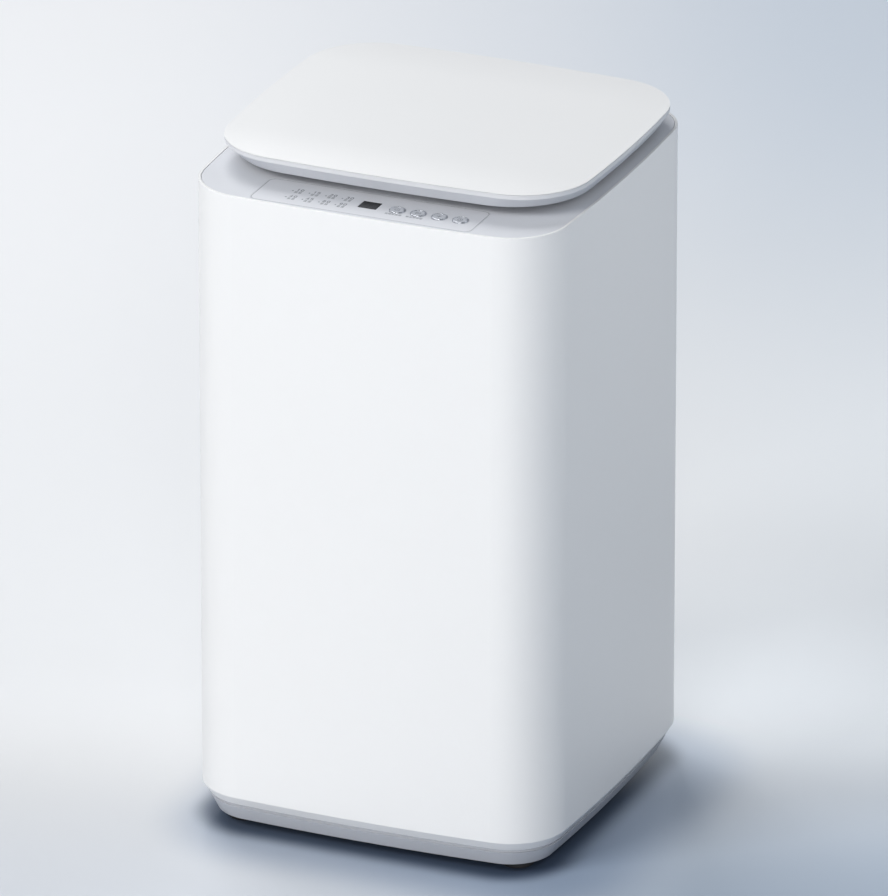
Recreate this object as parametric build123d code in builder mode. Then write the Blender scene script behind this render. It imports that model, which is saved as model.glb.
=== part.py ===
from build123d import *
import math
import os

os.makedirs("parts", exist_ok=True)

# Free-standing top-loading shoe washer. Millimetres, +Z up, the floor at z = 0, the front at -Y.
# The origin is on the floor under the centre of the cabinet.

# Cabinet plan and heights
cabinet_width = 410.0
cabinet_depth = 410.0
side_bow = 8.0
corner_radius = 62.0
wall = 3.0
foot_height = 10.0
plinth_height = 16.0
plinth_top_inset = 8.0
plinth_bottom_inset = 16.0
groove_height = 4.3
groove_inset = 10.5
sill_height = 9.7
sill_tuck = 6.0
wall_height = 666.1
flange_width = 13.0
flange_thickness = 5.0
rim_round = 0.6

# Clearances
fit_gap = 0.05
seat_gap = 0.3
panel_gap = 0.3

# Base
base_floor = 4.0
base_wall_inset = 20.0
foot_radius = 17.0
foot_inset = 52.0
foot_chamfer = 1.5

# Top deck and its mouth
deck_drop = 0.6
deck_thickness = 3.0
ledge_width = 4.0
ledge_height = 4.0
mouth_radius = 134.0
mouth_round = 1.4
neck_wall = 3.0
neck_depth = 50.0

# Suspended tub
tub_side_gap = 37.0
tub_rear_gap = 19.5
tub_offset = 18.0
tub_wall = 3.0
tub_floor = 5.0
tub_headroom = 60.0
drive_space = 161.0
tub_ring_height = 10.0
tub_ring_plate = 2.5
tub_ring_skirt = 2.5
tub_ring_cover = 9.0
tub_travel = 5.0
ear_height = 60.0
ear_thickness = 8.0
ear_radius = 18.0
drain_port_length = 16.0

# Suspension
rod_radius = 3.0
rod_inset = 50.0
rod_head_radius = 7.0
rod_foot_radius = 14.0
rod_foot_thickness = 4.0
rod_slack = 1.0
rod_head_height = 9.0
rod_head_drop = 12.0
hanger_radius = 14.0
hanger_height = 22.0
damper_radius = 17.0
damper_wall = 2.5
damper_height = 42.0
spring_radius = 10.5
spring_wire = 1.2
spring_length = 70.0
spring_turns = 8

# Wash basket
basket_gap = 12.0
basket_wall = 1.2
basket_floor = 2.0
basket_lift = 16.0
balance_ring_height = 30.0
balance_ring_width = 13.0
basket_headroom = 16.0
basket_skirt = 6.0
balance_ring_lip = 3.0
balance_ring_bevel = 4.0
basket_drain_radius = 4.0
basket_drain_count = 12
basket_drain_share = 0.62
basket_hole_radius = 3.0
basket_hole_columns = 18
basket_hole_rows = 7
basket_hole_pitch = 48.0
hub_arm_length = 62.0
hub_thickness = 6.0
hub_arm_width = 18.0
hub_arm_count = 3
hub_pad_radius = 13.0
hub_boss_wall = 7.0
hub_end = 2.0
filter_round = 4.0
filter_width = 60.0
filter_height = 90.0
filter_depth = 12.0
filter_drop = 60.0

# Shafts, bearings and seal
shaft_radius = 8.0
spin_tube_wall = 4.4
bearing_width = 12.0
bearing_ring = 11.0
seal_ring = 8.0
seal_height = 8.0
seal_seat = 2.0
seal_web = 3.0
seal_lip = 1.0
seal_boss_wall = 8.0
seal_boss_height = 12.0
bearing_drop = 6.0
bearing_shoulder = 3.0
spin_tube_end = 2.0
clutch_radius = 44.0
clutch_height = 76.0
clutch_floor = 4.0
clutch_bevel = 8.0
clutch_flange = 14.0
clutch_flange_height = 8.0
clutch_flange_root = 12.0

# Pulsator and brush
pulsator_gap = 24.0
pulsator_thickness = 7.0
pulsator_lift = 6.0
vane_height = 22.0
vane_thickness = 16.0
vane_count = 4
vane_taper = 8.0
vane_round = 2.5
vane_share = 0.62
vane_place = 0.58
pulsator_rim = 3.0
pulsator_rim_bevel = 4.0
pulsator_hub_wall = 6.0
post_radius = 22.0
post_wall = 3.0
post_height = 286.0
post_dome = 12.0
post_dome_step = 4.0
post_plug = 20.0
shaft_tip = 12.0
sleeve_wall = 2.5
tuft_radius = 2.4
tuft_length = 24.0
tuft_margin = 20.0
tufts_per_ring = 10
tuft_rings = 14
tuft_pitch = 17.5

# Belt drive
belt_width = 9.0
belt_thickness = 6.0
drive_pulley_pitch = 57.0
motor_pulley_pitch = 19.0
pulley_thickness = 15.0
pulley_cheek = 5.0
pulley_hub_radius = 17.0
pulley_nut_radius = 12.0
pulley_nut_height = 8.0
pulley_gap = 4.0
pulley_web_recess = 4.0
pulley_hole_count = 5
pulley_hole_wall = 4.0
shaft_end = 3.0
motor_distance = 108.0
motor_radius = 43.0
motor_height = 70.0
motor_shaft_radius = 6.0
motor_plate_thickness = 5.0
motor_bevel = 6.0
motor_end = 10.0
motor_bore_wall = 5.0
motor_shaft_end = 4.0
motor_shaft_top = 6.0
plate_margin = 6.0
plate_ring = 32.0

# Drain pump
pump_x = 85.0
pump_y = -75.0
pump_radius = 34.0
pump_wall = 3.0
pump_height = 34.0
pump_foot_height = 28.0
pump_motor_radius = 24.0
pump_inlet_radius = 16.0
pump_inlet_height = 18.0
pump_port_radius = 10.0
pump_port_length = 18.0
pump_shaft_radius = 3.0
pump_shaft_slack = 2.0
pump_shaft_depth = 9.0
impeller_radius = 24.0
impeller_height = 18.0
impeller_vane = 3.0
impeller_plate = 2.0
impeller_hub = 6.0
impeller_lift = 1.0
impeller_vanes = 6
bellows_wall = 2.0
bellows_ribs = 7
bellows_rib_height = 4.0
bellows_rib_inside = 3.0
bellows_lap_low = 12.0
bellows_lap_high = 12.0
bellows_plain = 2.0

# Rear services
recess_depth = 26.0
recess_wall = 2.0
spigot_collar = 2.0
inlet_x = -112.0
inlet_z = 664.0
inlet_recess_width = 72.0
inlet_recess_height = 58.0
inlet_thread_radius = 13.2
inlet_bore_radius = 8.0
valve_radius = 12.0
valve_flange_width = 40.0
valve_flange_height = 38.0
valve_tail = 10.0
valve_coil = 26.0
valve_coil_shift = 22.0
valve_coil_round = 4.0
valve_bore_depth = 8.0
fill_bend = 12.0
fill_port_angle = 135.0
service_hose_radius = 7.0
service_hose_wall = 2.0
drain_recess_side = 107.0
drain_recess_z = 104.0
drain_recess_width = 96.0
drain_recess_height = 62.0
drain_spigot_radius = 10.0
drain_spigot_shift = 22.0
gland_radius = 8.0
gland_bore_radius = 3.6
gland_shift = -26.0
spigot_length = 17.0
flange_plate = 3.0
outlet_flange = 7.0
outlet_wall = 2.5
gland_flange = 4.0
gland_short = 5.0
drain_hose_bend = 60.0
drain_hose_front = 40.0
drain_hose_rear = 50.0
rear_cover_width = 150.0
rear_cover_height = 190.0
rear_cover_z = 300.0
rear_cover_lap = 14.0
rear_cover_plate = 2.0
rear_cover_radius = 10.0
vent_rows = 9
vent_pitch = 14.0
vent_length = 50.0
vent_height = 4.0
vent_column_gap = 10.0
screw_radius = 2.0
screw_head_radius = 3.8
screw_head_height = 1.6
screw_length = 9.0
screw_sink = 0.3
screw_slot = 0.8
screw_slot_depth = 0.9
foot_screw_z = 3.0
foot_screw_end = 3.0
screw_slot_share = 1.3

# Controls
overlay_width = 243.0
overlay_setback = 7.7
panel_mouth_gap = 18.3
panel_shift = -4.5
control_row_shift = 2.9
overlay_thickness = 0.8
overlay_radius = 8.0
button_radius = 8.3
button_pitch_share = 0.09465
button_start_share = 0.1284
button_count = 4
button_proud = 0.9
button_travel = 0.8
button_gap = 0.15
button_flange = 1.8
button_stem_radius = 2.5
button_round = 0.6
window_width = 20.0
window_depth = 18.0
window_thickness = 2.0
window_chamfer = 0.3
window_ledge = 1.5
display_inset = 2.0
lamp_start_share = -0.3597
lamp_pitch_share = 0.0749
lamp_row_pitch = 18.0
lamp_count = 4
lamp_radius = 0.9
lamp_gap = 0.15
board_thickness = 1.6
board_drop = 17.0
tray_wall = 2.0
tray_inset = 4.0
board_gap = 2.0
tray_boss_height = 5.0
tray_boss_radius = 4.0
switch_size = 6.0
switch_height = 5.0
switch_plunger = 1.5
switch_plunger_radius = 2.0

# Lid
control_strip = 51.6
lid_rear_setback = 6.6
lid_side_setback = 3.0
lid_bow = 8.0
lid_corner_radius = 76.0
lid_gap = 9.2
lid_bevel_height = 12.4
lid_bevel_width = 8.0
lid_bevel_round = 16.0
lid_band = 5.1
lid_line = 0.8
lid_line_depth = 1.0
lid_crown = 1.6
crown_steps = [(0.0, 0.0), (12.0, 0.5), (34.0, 1.2), (60.0, lid_crown)]
lid_skin = 2.5
lid_overlap = 1.0
lid_open_angle = 95.0
lid_seal_radius = 146.0
lid_seal_width = 8.0
lid_seal_outer_taper = 1.0
lid_seal_inner_taper = 3.0

# Lid hinge
hinge_x = 108.0
hinge_width = 30.0
hinge_setback = 17.0
hinge_rise = 15.1
hinge_pin_radius = 3.0
hinge_knuckle_radius = 6.3
hinge_web_rear = 4.9
hinge_lug = 6.0
hinge_lug_blind = 1.0
hinge_pocket_gap = 1.5
hinge_side_gap = 1.0
hinge_foot = 26.0
hinge_foot_thickness = 2.5
magnet_size = 10.0
magnet_length = 20.0
magnet_height = 5.0

# Power electronics and level sensor
case_width = 120.0
case_height = 130.0
case_depth = 24.0
case_wall = 2.0
case_round = 6.0
board_edge = 2.0
part_clearance = 4.0
case_z = 430.0
case_y = 0.0
sensor_radius = 20.0
sensor_depth = 16.0
sensor_z = 560.0
sensor_y = 105.0
sensor_chamfer = 2.0
sensor_pipe_radius = 3.0
sensor_pipe_length = 12.0
switch_case_length = 26.0
switch_case_width = 14.0
switch_case_height = 9.0
magnet_place = (-120.0, -84.0)

# Levels that follow from the sizes above
plinth_top_z = foot_height + plinth_height
shell_foot_z = plinth_top_z + groove_height
wall_foot_z = shell_foot_z + sill_height
rim_z = wall_foot_z + wall_height
deck_z = rim_z - deck_drop
deck_under_z = deck_z - deck_thickness
base_floor_z = foot_height + base_floor
tub_z = base_floor_z + drive_space
tub_top_z = deck_under_z - tub_headroom
tub_radius = min(
    cabinet_width / 2 - wall - tub_side_gap,
    cabinet_depth / 2 - wall - tub_rear_gap - tub_offset,
)
tub_inner_radius = tub_radius - tub_wall
ear_z = tub_z + ear_height
rod_x = cabinet_width / 2 - wall - rod_inset
rod_y = cabinet_depth / 2 - wall - rod_inset
rod_places = [(sx * rod_x, sy * rod_y) for sx in (-1, 1) for sy in (-1, 1)]
rod_foot_z = ear_z - damper_wall - seat_gap - spring_length
rod_head_z = deck_under_z - rod_head_drop
spin_tube_radius = shaft_radius + fit_gap + spin_tube_wall
bearing_radius = spin_tube_radius + fit_gap + bearing_ring
seal_radius = spin_tube_radius + fit_gap + seal_ring
basket_z = tub_z + tub_floor + basket_lift
basket_radius = tub_inner_radius - basket_gap
basket_top_z = tub_top_z - basket_headroom - balance_ring_height
hub_z = basket_z - hub_thickness
clutch_z = tub_z - clutch_height
pulsator_z = basket_z + basket_floor + pulsator_lift
pulsator_radius = basket_radius - pulsator_gap
post_z = pulsator_z + pulsator_thickness
pulley_z = clutch_z - pulley_gap - pulley_thickness
nut_z = pulley_z - pulley_nut_height
belt_z = pulley_z + (pulley_thickness - belt_width) / 2
motor_z = tub_z - motor_plate_thickness - motor_height
drive_ratio = drive_pulley_pitch / motor_pulley_pitch
mouth_front_y = tub_offset - mouth_radius - neck_wall
overlay_depth = mouth_front_y - panel_mouth_gap - (overlay_setback - cabinet_depth / 2)
panel_y = -cabinet_depth / 2 + overlay_setback + overlay_depth / 2
panel_place = (panel_shift, panel_y)
control_row_y = panel_y - control_row_shift
panel_z = deck_z - overlay_thickness
drain_recess_x = cabinet_width / 2 - drain_recess_side
board_z = deck_under_z - board_drop
board_top_z = board_z + board_thickness
tray_z = board_z - tray_boss_height - tray_wall
button_start = panel_shift + button_start_share * overlay_width
button_pitch = button_pitch_share * overlay_width
lamp_start = panel_shift + lamp_start_share * overlay_width
lamp_pitch = lamp_pitch_share * overlay_width
button_places = [(button_start + i * button_pitch, control_row_y) for i in range(button_count)]
lamp_places = [
    (lamp_start + i * lamp_pitch, control_row_y + s * lamp_row_pitch / 2)
    for s in (-1, 1)
    for i in range(lamp_count)
]
lid_width = cabinet_width - 2 * lid_side_setback
lid_front_y = -cabinet_depth / 2 + control_strip
lid_rear_y = cabinet_depth / 2 - lid_rear_setback
lid_depth = lid_rear_y - lid_front_y
lid_y = (lid_front_y + lid_rear_y) / 2
lid_under_z = deck_z + lid_gap
lid_seam_z = lid_under_z + lid_bevel_height
lid_crease_z = lid_seam_z + lid_band
hinge_y = cabinet_depth / 2 - hinge_setback
hinge_z = deck_z + hinge_rise
hinge_places = (-hinge_x, hinge_x)
recess_back_y = cabinet_depth / 2 - recess_depth
cover_screw_x = rear_cover_width / 2 + rear_cover_lap / 2
cover_screw_z = rear_cover_height / 2 + rear_cover_lap / 2
cover_screw_places = [
    (sx * cover_screw_x, rear_cover_z + sz * cover_screw_z) for sx in (-1, 1) for sz in (-1, 1)
]


def swell_radius(span, bow):
    """The radius of a side that swells out by its bow over its span."""
    chord = span / 2 - bow
    return (chord**2 + bow**2) / (2 * bow)


def soft_square(width, depth, bow, radius, inset=0.0):
    """A plan outline with four bowed sides and round corners, moved in by the inset."""
    along_x = swell_radius(width, bow) - inset
    along_y = swell_radius(depth, bow) - inset
    shift_y = along_x + inset - depth / 2
    shift_x = along_y + inset - width / 2
    with BuildSketch() as plan:
        with Locations((0, shift_y)):
            Circle(along_x)
        with Locations((0, -shift_y)):
            Circle(along_x, mode=Mode.INTERSECT)
        with Locations((shift_x, 0)):
            Circle(along_y, mode=Mode.INTERSECT)
        with Locations((-shift_x, 0)):
            Circle(along_y, mode=Mode.INTERSECT)
        fillet(plan.vertices(), radius - inset)
    return plan.sketch


def cabinet_plan(inset=0.0):
    """The cabinet's plan outline."""
    return soft_square(cabinet_width, cabinet_depth, side_bow, corner_radius, inset)


def lid_plan(inset=0.0, corner_gain=0.0):
    """The lid's plan outline, centred on the origin, with its corners rounder by the gain."""
    return soft_square(lid_width, lid_depth, lid_bow, lid_corner_radius + corner_gain, inset)


def bow_drop(along, half_span, bow):
    """How far a bowed side has fallen back at a distance from its middle."""
    swell = swell_radius(2 * half_span, bow)
    return swell - math.sqrt(swell**2 - along**2)


def save(piece, name):
    """Labels a finished piece and writes it."""
    piece.part.label = name
    export_step(piece.part, f"parts/{name}.step")


def turned(points, centre=(0.0, 0.0)):
    """A solid turned about a vertical axis from (radius, height) points."""
    with BuildPart() as solid:
        with BuildSketch(Plane.XZ) as section:
            with BuildLine():
                Polyline(*points, close=True)
            make_face()
        revolve(axis=Axis.Z)
    return solid.part.moved(Location((centre[0], centre[1], 0)))


tub_axis = (0.0, tub_offset)
motor_axis = (-motor_distance, tub_offset)

screw_bed_depth = bow_drop(cover_screw_x, cabinet_width / 2, side_bow) + screw_sink + screw_head_height

# Cabinet shell: one wrapped wall with a tucked-in sill, a base flange and a ledge for the deck
wall_plan = cabinet_plan()
inner_plan = cabinet_plan(wall)
flange_plan = cabinet_plan(flange_width)
ledge_plan = cabinet_plan(wall + ledge_width)
ledge_z = deck_under_z - ledge_height
flange_top_z = wall_foot_z + flange_thickness
with BuildPart() as cabinet_shell:
    with BuildSketch(Plane.XY.offset(wall_foot_z)):
        add(wall_plan)
    extrude(amount=wall_height)
    with BuildSketch(Plane.XY.offset(shell_foot_z)):
        add(cabinet_plan(sill_tuck))
    with BuildSketch(Plane.XY.offset(wall_foot_z)):
        add(wall_plan)
    loft(ruled=True)
    with BuildSketch(Plane.XY.offset(shell_foot_z)):
        add(flange_plan)
    extrude(amount=flange_top_z - shell_foot_z, mode=Mode.SUBTRACT)
    with BuildSketch(Plane.XY.offset(flange_top_z)):
        add(inner_plan)
    extrude(amount=ledge_z - flange_top_z, mode=Mode.SUBTRACT)
    with BuildSketch(Plane.XY.offset(ledge_z)):
        add(ledge_plan)
    extrude(amount=ledge_height, mode=Mode.SUBTRACT)
    with BuildSketch(Plane.XY.offset(deck_under_z)):
        add(inner_plan)
    extrude(amount=rim_z - deck_under_z, mode=Mode.SUBTRACT)
    fillet(cabinet_shell.edges().group_by(Axis.Z)[-1], min(rim_round, 0.4 * wall))
    with BuildSketch(Plane.XZ.offset(-cabinet_depth / 2)):
        with Locations((inlet_x, inlet_z)):
            Rectangle(inlet_recess_width + 2 * seat_gap, inlet_recess_height + 2 * seat_gap)
        with Locations((drain_recess_x, drain_recess_z)):
            Rectangle(drain_recess_width + 2 * seat_gap, drain_recess_height + 2 * seat_gap)
        with Locations((0, rear_cover_z)):
            RectangleRounded(rear_cover_width, rear_cover_height, rear_cover_radius)
        with Locations(*cover_screw_places):
            Circle(screw_radius + seat_gap)
    extrude(amount=cabinet_depth / 4, mode=Mode.SUBTRACT)
    with BuildSketch(Plane.XZ.offset(-cabinet_depth / 2)):
        with Locations(*cover_screw_places):
            Circle(screw_head_radius + seat_gap)
    extrude(amount=screw_bed_depth, mode=Mode.SUBTRACT)
save(cabinet_shell, "cabinet_shell")

# Base: a tapered plinth with a raised step that carries the shell's flange
foot_x = cabinet_width / 2 - foot_inset
foot_y = cabinet_depth / 2 - foot_inset
foot_places = [(sx * foot_x, sy * foot_y) for sx in (-1, 1) for sy in (-1, 1)]
with BuildPart() as base_frame:
    with BuildSketch(Plane.XY.offset(foot_height)):
        add(cabinet_plan(plinth_bottom_inset))
    with BuildSketch(Plane.XY.offset(plinth_top_z)):
        add(cabinet_plan(plinth_top_inset))
    loft(ruled=True)
    with BuildSketch(Plane.XY.offset(plinth_top_z)):
        add(cabinet_plan(groove_inset))
    extrude(amount=groove_height)
    with BuildSketch(Plane.XY.offset(base_floor_z)):
        add(cabinet_plan(base_wall_inset))
    extrude(amount=shell_foot_z - base_floor_z, mode=Mode.SUBTRACT)
    with BuildSketch(Plane.XY.offset(foot_height)):
        with Locations(*foot_places):
            Circle(screw_radius + fit_gap)
    extrude(amount=base_floor, mode=Mode.SUBTRACT)
save(base_frame, "base_frame")

with BuildPart() as rubber_feet:
    with BuildSketch():
        with Locations(*foot_places):
            Circle(foot_radius)
    extrude(amount=foot_height)
    chamfer(rubber_feet.edges().group_by(Axis.Z)[0], foot_chamfer)
    with BuildSketch():
        with Locations(*foot_places):
            Circle(screw_head_radius + seat_gap)
    extrude(amount=foot_screw_z + screw_head_height, mode=Mode.SUBTRACT)
    with BuildSketch():
        with Locations(*foot_places):
            Circle(screw_radius + fit_gap)
    extrude(amount=foot_height, mode=Mode.SUBTRACT)
save(rubber_feet, "rubber_feet")

# Top deck with the round mouth, its neck and the wells of the control panel
port_reach = mouth_radius + neck_wall
port_turn = math.radians(fill_port_angle)
with BuildPart() as top_deck:
    with BuildSketch(Plane.XY.offset(deck_under_z)):
        add(cabinet_plan(wall + panel_gap))
    extrude(amount=deck_thickness)
    with BuildSketch(Plane.XY.offset(deck_under_z)):
        with Locations(tub_axis):
            Circle(mouth_radius + neck_wall)
    extrude(amount=-neck_depth)
    with BuildSketch(Plane.XY.offset(deck_under_z - neck_depth)):
        with Locations(tub_axis):
            Circle(mouth_radius)
    extrude(amount=neck_depth + deck_thickness, mode=Mode.SUBTRACT)
    mouth_edge = top_deck.edges().group_by(Axis.Z)[-1].sort_by(SortBy.LENGTH)[-1]
    fillet(mouth_edge, mouth_round)
    with BuildSketch(Plane.XY.offset(panel_z)):
        with Locations(panel_place):
            RectangleRounded(
                overlay_width + 2 * seat_gap, overlay_depth + 2 * seat_gap, overlay_radius
            )
    extrude(amount=overlay_thickness, mode=Mode.SUBTRACT)
    with BuildSketch(Plane.XY.offset(deck_under_z)):
        with Locations(*button_places):
            Circle(button_radius + button_gap)
        with Locations(*lamp_places):
            Circle(lamp_radius + lamp_gap)
        with Locations(panel_place):
            Rectangle(window_width - 2 * window_ledge, window_depth - 2 * window_ledge)
    extrude(amount=deck_thickness, mode=Mode.SUBTRACT)
    with BuildSketch(Plane.XY.offset(deck_z - window_thickness)):
        with Locations(panel_place):
            Rectangle(window_width + 2 * seat_gap, window_depth + 2 * seat_gap)
    extrude(amount=window_thickness, mode=Mode.SUBTRACT)
    with BuildSketch(
        Plane(
            origin=(0, tub_offset, inlet_z),
            x_dir=(math.sin(port_turn), -math.cos(port_turn), 0),
            z_dir=(math.cos(port_turn), math.sin(port_turn), 0),
        )
    ):
        Circle(service_hose_radius - service_hose_wall)
    extrude(amount=port_reach + seat_gap, mode=Mode.SUBTRACT)
save(top_deck, "top_deck")

# Control panel overlay, display, lamps and buttons
with BuildPart() as control_overlay:
    with BuildSketch(Plane.XY.offset(panel_z)):
        with Locations(panel_place):
            RectangleRounded(overlay_width, overlay_depth, overlay_radius)
            Rectangle(
                window_width + 2 * seat_gap, window_depth + 2 * seat_gap, mode=Mode.SUBTRACT
            )
        with Locations(*button_places):
            Circle(button_radius + button_gap, mode=Mode.SUBTRACT)
        with Locations(*lamp_places):
            Circle(lamp_radius + lamp_gap, mode=Mode.SUBTRACT)
    extrude(amount=overlay_thickness)
save(control_overlay, "control_overlay")

with BuildPart() as display_window:
    with BuildSketch(Plane.XY.offset(deck_z - window_thickness)):
        with Locations(panel_place):
            Rectangle(window_width, window_depth)
    extrude(amount=window_thickness)
    chamfer(display_window.edges().group_by(Axis.Z)[-1], window_chamfer)
save(display_window, "display_window")

with BuildPart() as indicator_lamps:
    with BuildSketch(Plane.XY.offset(board_top_z)):
        with Locations(*lamp_places):
            Circle(lamp_radius)
    extrude(amount=deck_z - board_top_z)
save(indicator_lamps, "indicator_lamps")

stem_z = board_top_z + switch_height + button_travel + seat_gap
for number, place in enumerate(button_places, start=1):
    with BuildPart() as button:
        with BuildSketch(Plane.XY.offset(deck_under_z - seat_gap)):
            with Locations(place):
                Circle(button_radius)
        extrude(amount=deck_thickness + seat_gap + button_proud)
        fillet(button.edges().group_by(Axis.Z)[-1], button_round)
        with BuildSketch(Plane.XY.offset(deck_under_z - seat_gap)):
            with Locations(place):
                Circle(button_radius + button_flange)
        extrude(amount=-button_flange)
        with BuildSketch(Plane.XY.offset(deck_under_z - seat_gap - button_flange)):
            with Locations(place):
                Circle(button_stem_radius)
        extrude(amount=stem_z - (deck_under_z - seat_gap - button_flange))
    save(button, f"button_{number}")

tray_width = overlay_width - 2 * tray_inset
tray_depth = overlay_depth - 2 * tray_inset
board_margin = tray_wall + board_gap
with BuildPart() as control_board:
    with BuildSketch(Plane.XY.offset(board_z)):
        with Locations(panel_place):
            Rectangle(tray_width - 2 * board_margin, tray_depth - 2 * board_margin)
    extrude(amount=board_thickness)
    with BuildSketch(Plane.XY.offset(board_top_z)):
        with Locations(panel_place):
            Rectangle(window_width - 2 * display_inset, window_depth - 2 * display_inset)
    extrude(amount=deck_z - window_thickness - seat_gap - board_top_z)
    with BuildSketch(Plane.XY.offset(board_top_z)):
        with Locations(*button_places):
            Rectangle(switch_size, switch_size)
    extrude(amount=switch_height - switch_plunger)
    with BuildSketch(Plane.XY.offset(board_top_z)):
        with Locations(*button_places):
            Circle(switch_plunger_radius)
    extrude(amount=switch_height)
save(control_board, "control_board")

boss_x = tray_width / 2 - board_margin - 2 * tray_boss_radius
boss_y = tray_depth / 2 - board_margin - 2 * tray_boss_radius
with BuildPart() as control_housing:
    with BuildSketch(Plane.XY.offset(tray_z)):
        with Locations(panel_place):
            RectangleRounded(tray_width, tray_depth, overlay_radius)
    extrude(amount=deck_under_z - tray_z)
    with BuildSketch(Plane.XY.offset(tray_z + tray_wall)):
        with Locations(panel_place):
            RectangleRounded(
                tray_width - 2 * tray_wall,
                tray_depth - 2 * tray_wall,
                overlay_radius - tray_wall,
            )
    extrude(amount=deck_under_z - tray_z, mode=Mode.SUBTRACT)
    with BuildSketch(Plane.XY.offset(tray_z + tray_wall)):
        with Locations(panel_place):
            with GridLocations(2 * boss_x, 2 * boss_y, 2, 2):
                Circle(tray_boss_radius)
    extrude(amount=tray_boss_height)
save(control_housing, "control_housing")

# Outer tub on four ears, with a drain port in its floor
drain_place = (pump_x, pump_y)
with BuildPart() as outer_tub:
    for place in rod_places:
        with BuildSketch(Plane.XY.offset(ear_z)):
            with BuildLine():
                CenterArc(place, ear_radius, 0, 360)
                CenterArc(tub_axis, ear_radius, 0, 360)
            make_hull()
        extrude(amount=ear_thickness)
    with BuildSketch(Plane.XY.offset(tub_z)):
        with Locations(tub_axis):
            Circle(tub_radius)
    extrude(amount=tub_top_z - tub_z)
    with BuildSketch(Plane.XY.offset(tub_z + tub_floor)):
        with Locations(tub_axis):
            Circle(tub_inner_radius)
    extrude(amount=tub_top_z - tub_z - tub_floor, mode=Mode.SUBTRACT)
    with BuildSketch(Plane.XY.offset(tub_z)):
        with Locations(tub_axis):
            Circle(seal_radius + seal_boss_wall)
    extrude(amount=seal_boss_height)
    with BuildSketch(Plane.XY.offset(tub_z)):
        with Locations(drain_place):
            Circle(pump_inlet_radius)
    extrude(amount=-drain_port_length)
    with BuildSketch(Plane.XY.offset(tub_z)):
        with Locations(tub_axis):
            Circle(seal_radius + fit_gap)
    extrude(amount=seal_boss_height, mode=Mode.SUBTRACT)
    with BuildSketch(Plane.XY.offset(tub_z - drain_port_length)):
        with Locations(drain_place):
            Circle(pump_inlet_radius - pump_wall)
    extrude(amount=drain_port_length + tub_floor, mode=Mode.SUBTRACT)
    with BuildSketch(Plane.XY.offset(ear_z)):
        with Locations(*rod_places):
            Circle(rod_radius + rod_slack)
    extrude(amount=ear_thickness, mode=Mode.SUBTRACT)
save(outer_tub, "outer_tub")

tub_ring_inner = basket_radius - tub_ring_cover
with BuildPart() as tub_ring:
    with BuildSketch(Plane.XY.offset(tub_top_z)):
        with Locations(tub_axis):
            Circle(tub_radius)
            Circle(tub_ring_inner, mode=Mode.SUBTRACT)
    extrude(amount=tub_ring_plate)
    with BuildSketch(Plane.XY.offset(tub_top_z)):
        with Locations(tub_axis):
            Circle(tub_inner_radius - seat_gap)
            Circle(tub_inner_radius - seat_gap - tub_ring_skirt, mode=Mode.SUBTRACT)
    extrude(amount=-tub_ring_height)
save(tub_ring, "tub_ring")

seal_z = tub_z + seal_seat
seal_top_z = seal_z + seal_height
seal_bore = spin_tube_radius + fit_gap
with BuildPart() as shaft_seal:
    add(
        turned(
            [
                (seal_bore, seal_z),
                (seal_radius, seal_z),
                (seal_radius, seal_top_z),
                (seal_radius - seal_web, seal_top_z),
                (seal_radius - seal_web - seal_lip, seal_z + seal_web),
                (seal_bore + 2 * seal_lip, seal_z + seal_web),
                (seal_bore + seal_lip, seal_top_z),
                (seal_bore, seal_top_z),
            ],
            tub_axis,
        )
    )
save(shaft_seal, "shaft_seal")

# Clutch housing under the tub, with two bearings
upper_bearing_z = tub_z - bearing_drop - bearing_width
lower_bearing_z = clutch_z + clutch_floor
bearing_seat = bearing_radius + fit_gap
clutch_flange_radius = clutch_radius + clutch_flange
with BuildPart() as clutch_housing:
    add(
        turned(
            [
                (bearing_seat, lower_bearing_z),
                (spin_tube_radius + bearing_shoulder, lower_bearing_z),
                (spin_tube_radius + bearing_shoulder, clutch_z),
                (clutch_radius - clutch_bevel, clutch_z),
                (clutch_radius, clutch_z + clutch_bevel),
                (clutch_radius, tub_z - clutch_flange_root),
                (clutch_flange_radius, tub_z - clutch_flange_height),
                (clutch_flange_radius, tub_z),
                (bearing_seat, tub_z),
                (bearing_seat, upper_bearing_z),
                (bearing_radius - bearing_shoulder, upper_bearing_z),
                (bearing_radius - bearing_shoulder, lower_bearing_z + bearing_width),
                (bearing_seat, lower_bearing_z + bearing_width),
            ],
            tub_axis,
        )
    )
save(clutch_housing, "clutch_housing")

with BuildPart() as shaft_bearings:
    for z in (lower_bearing_z, upper_bearing_z):
        with BuildSketch(Plane.XY.offset(z)):
            with Locations(tub_axis):
                Circle(bearing_radius)
                Circle(spin_tube_radius + fit_gap, mode=Mode.SUBTRACT)
        extrude(amount=bearing_width)
save(shaft_bearings, "shaft_bearings")

# Motor on its plate under the tub
plate_z = tub_z - motor_plate_thickness
with BuildPart() as motor_plate:
    with BuildSketch(Plane.XY.offset(plate_z)):
        with BuildLine():
            CenterArc(motor_axis, motor_radius + plate_margin, 0, 360)
            CenterArc(tub_axis, clutch_radius + plate_ring, 0, 360)
        make_hull()
        with Locations(tub_axis):
            Circle(clutch_flange_radius + seat_gap, mode=Mode.SUBTRACT)
        with Locations(motor_axis):
            Circle(motor_shaft_radius + plate_margin, mode=Mode.SUBTRACT)
    extrude(amount=motor_plate_thickness)
save(motor_plate, "motor_plate")

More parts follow.
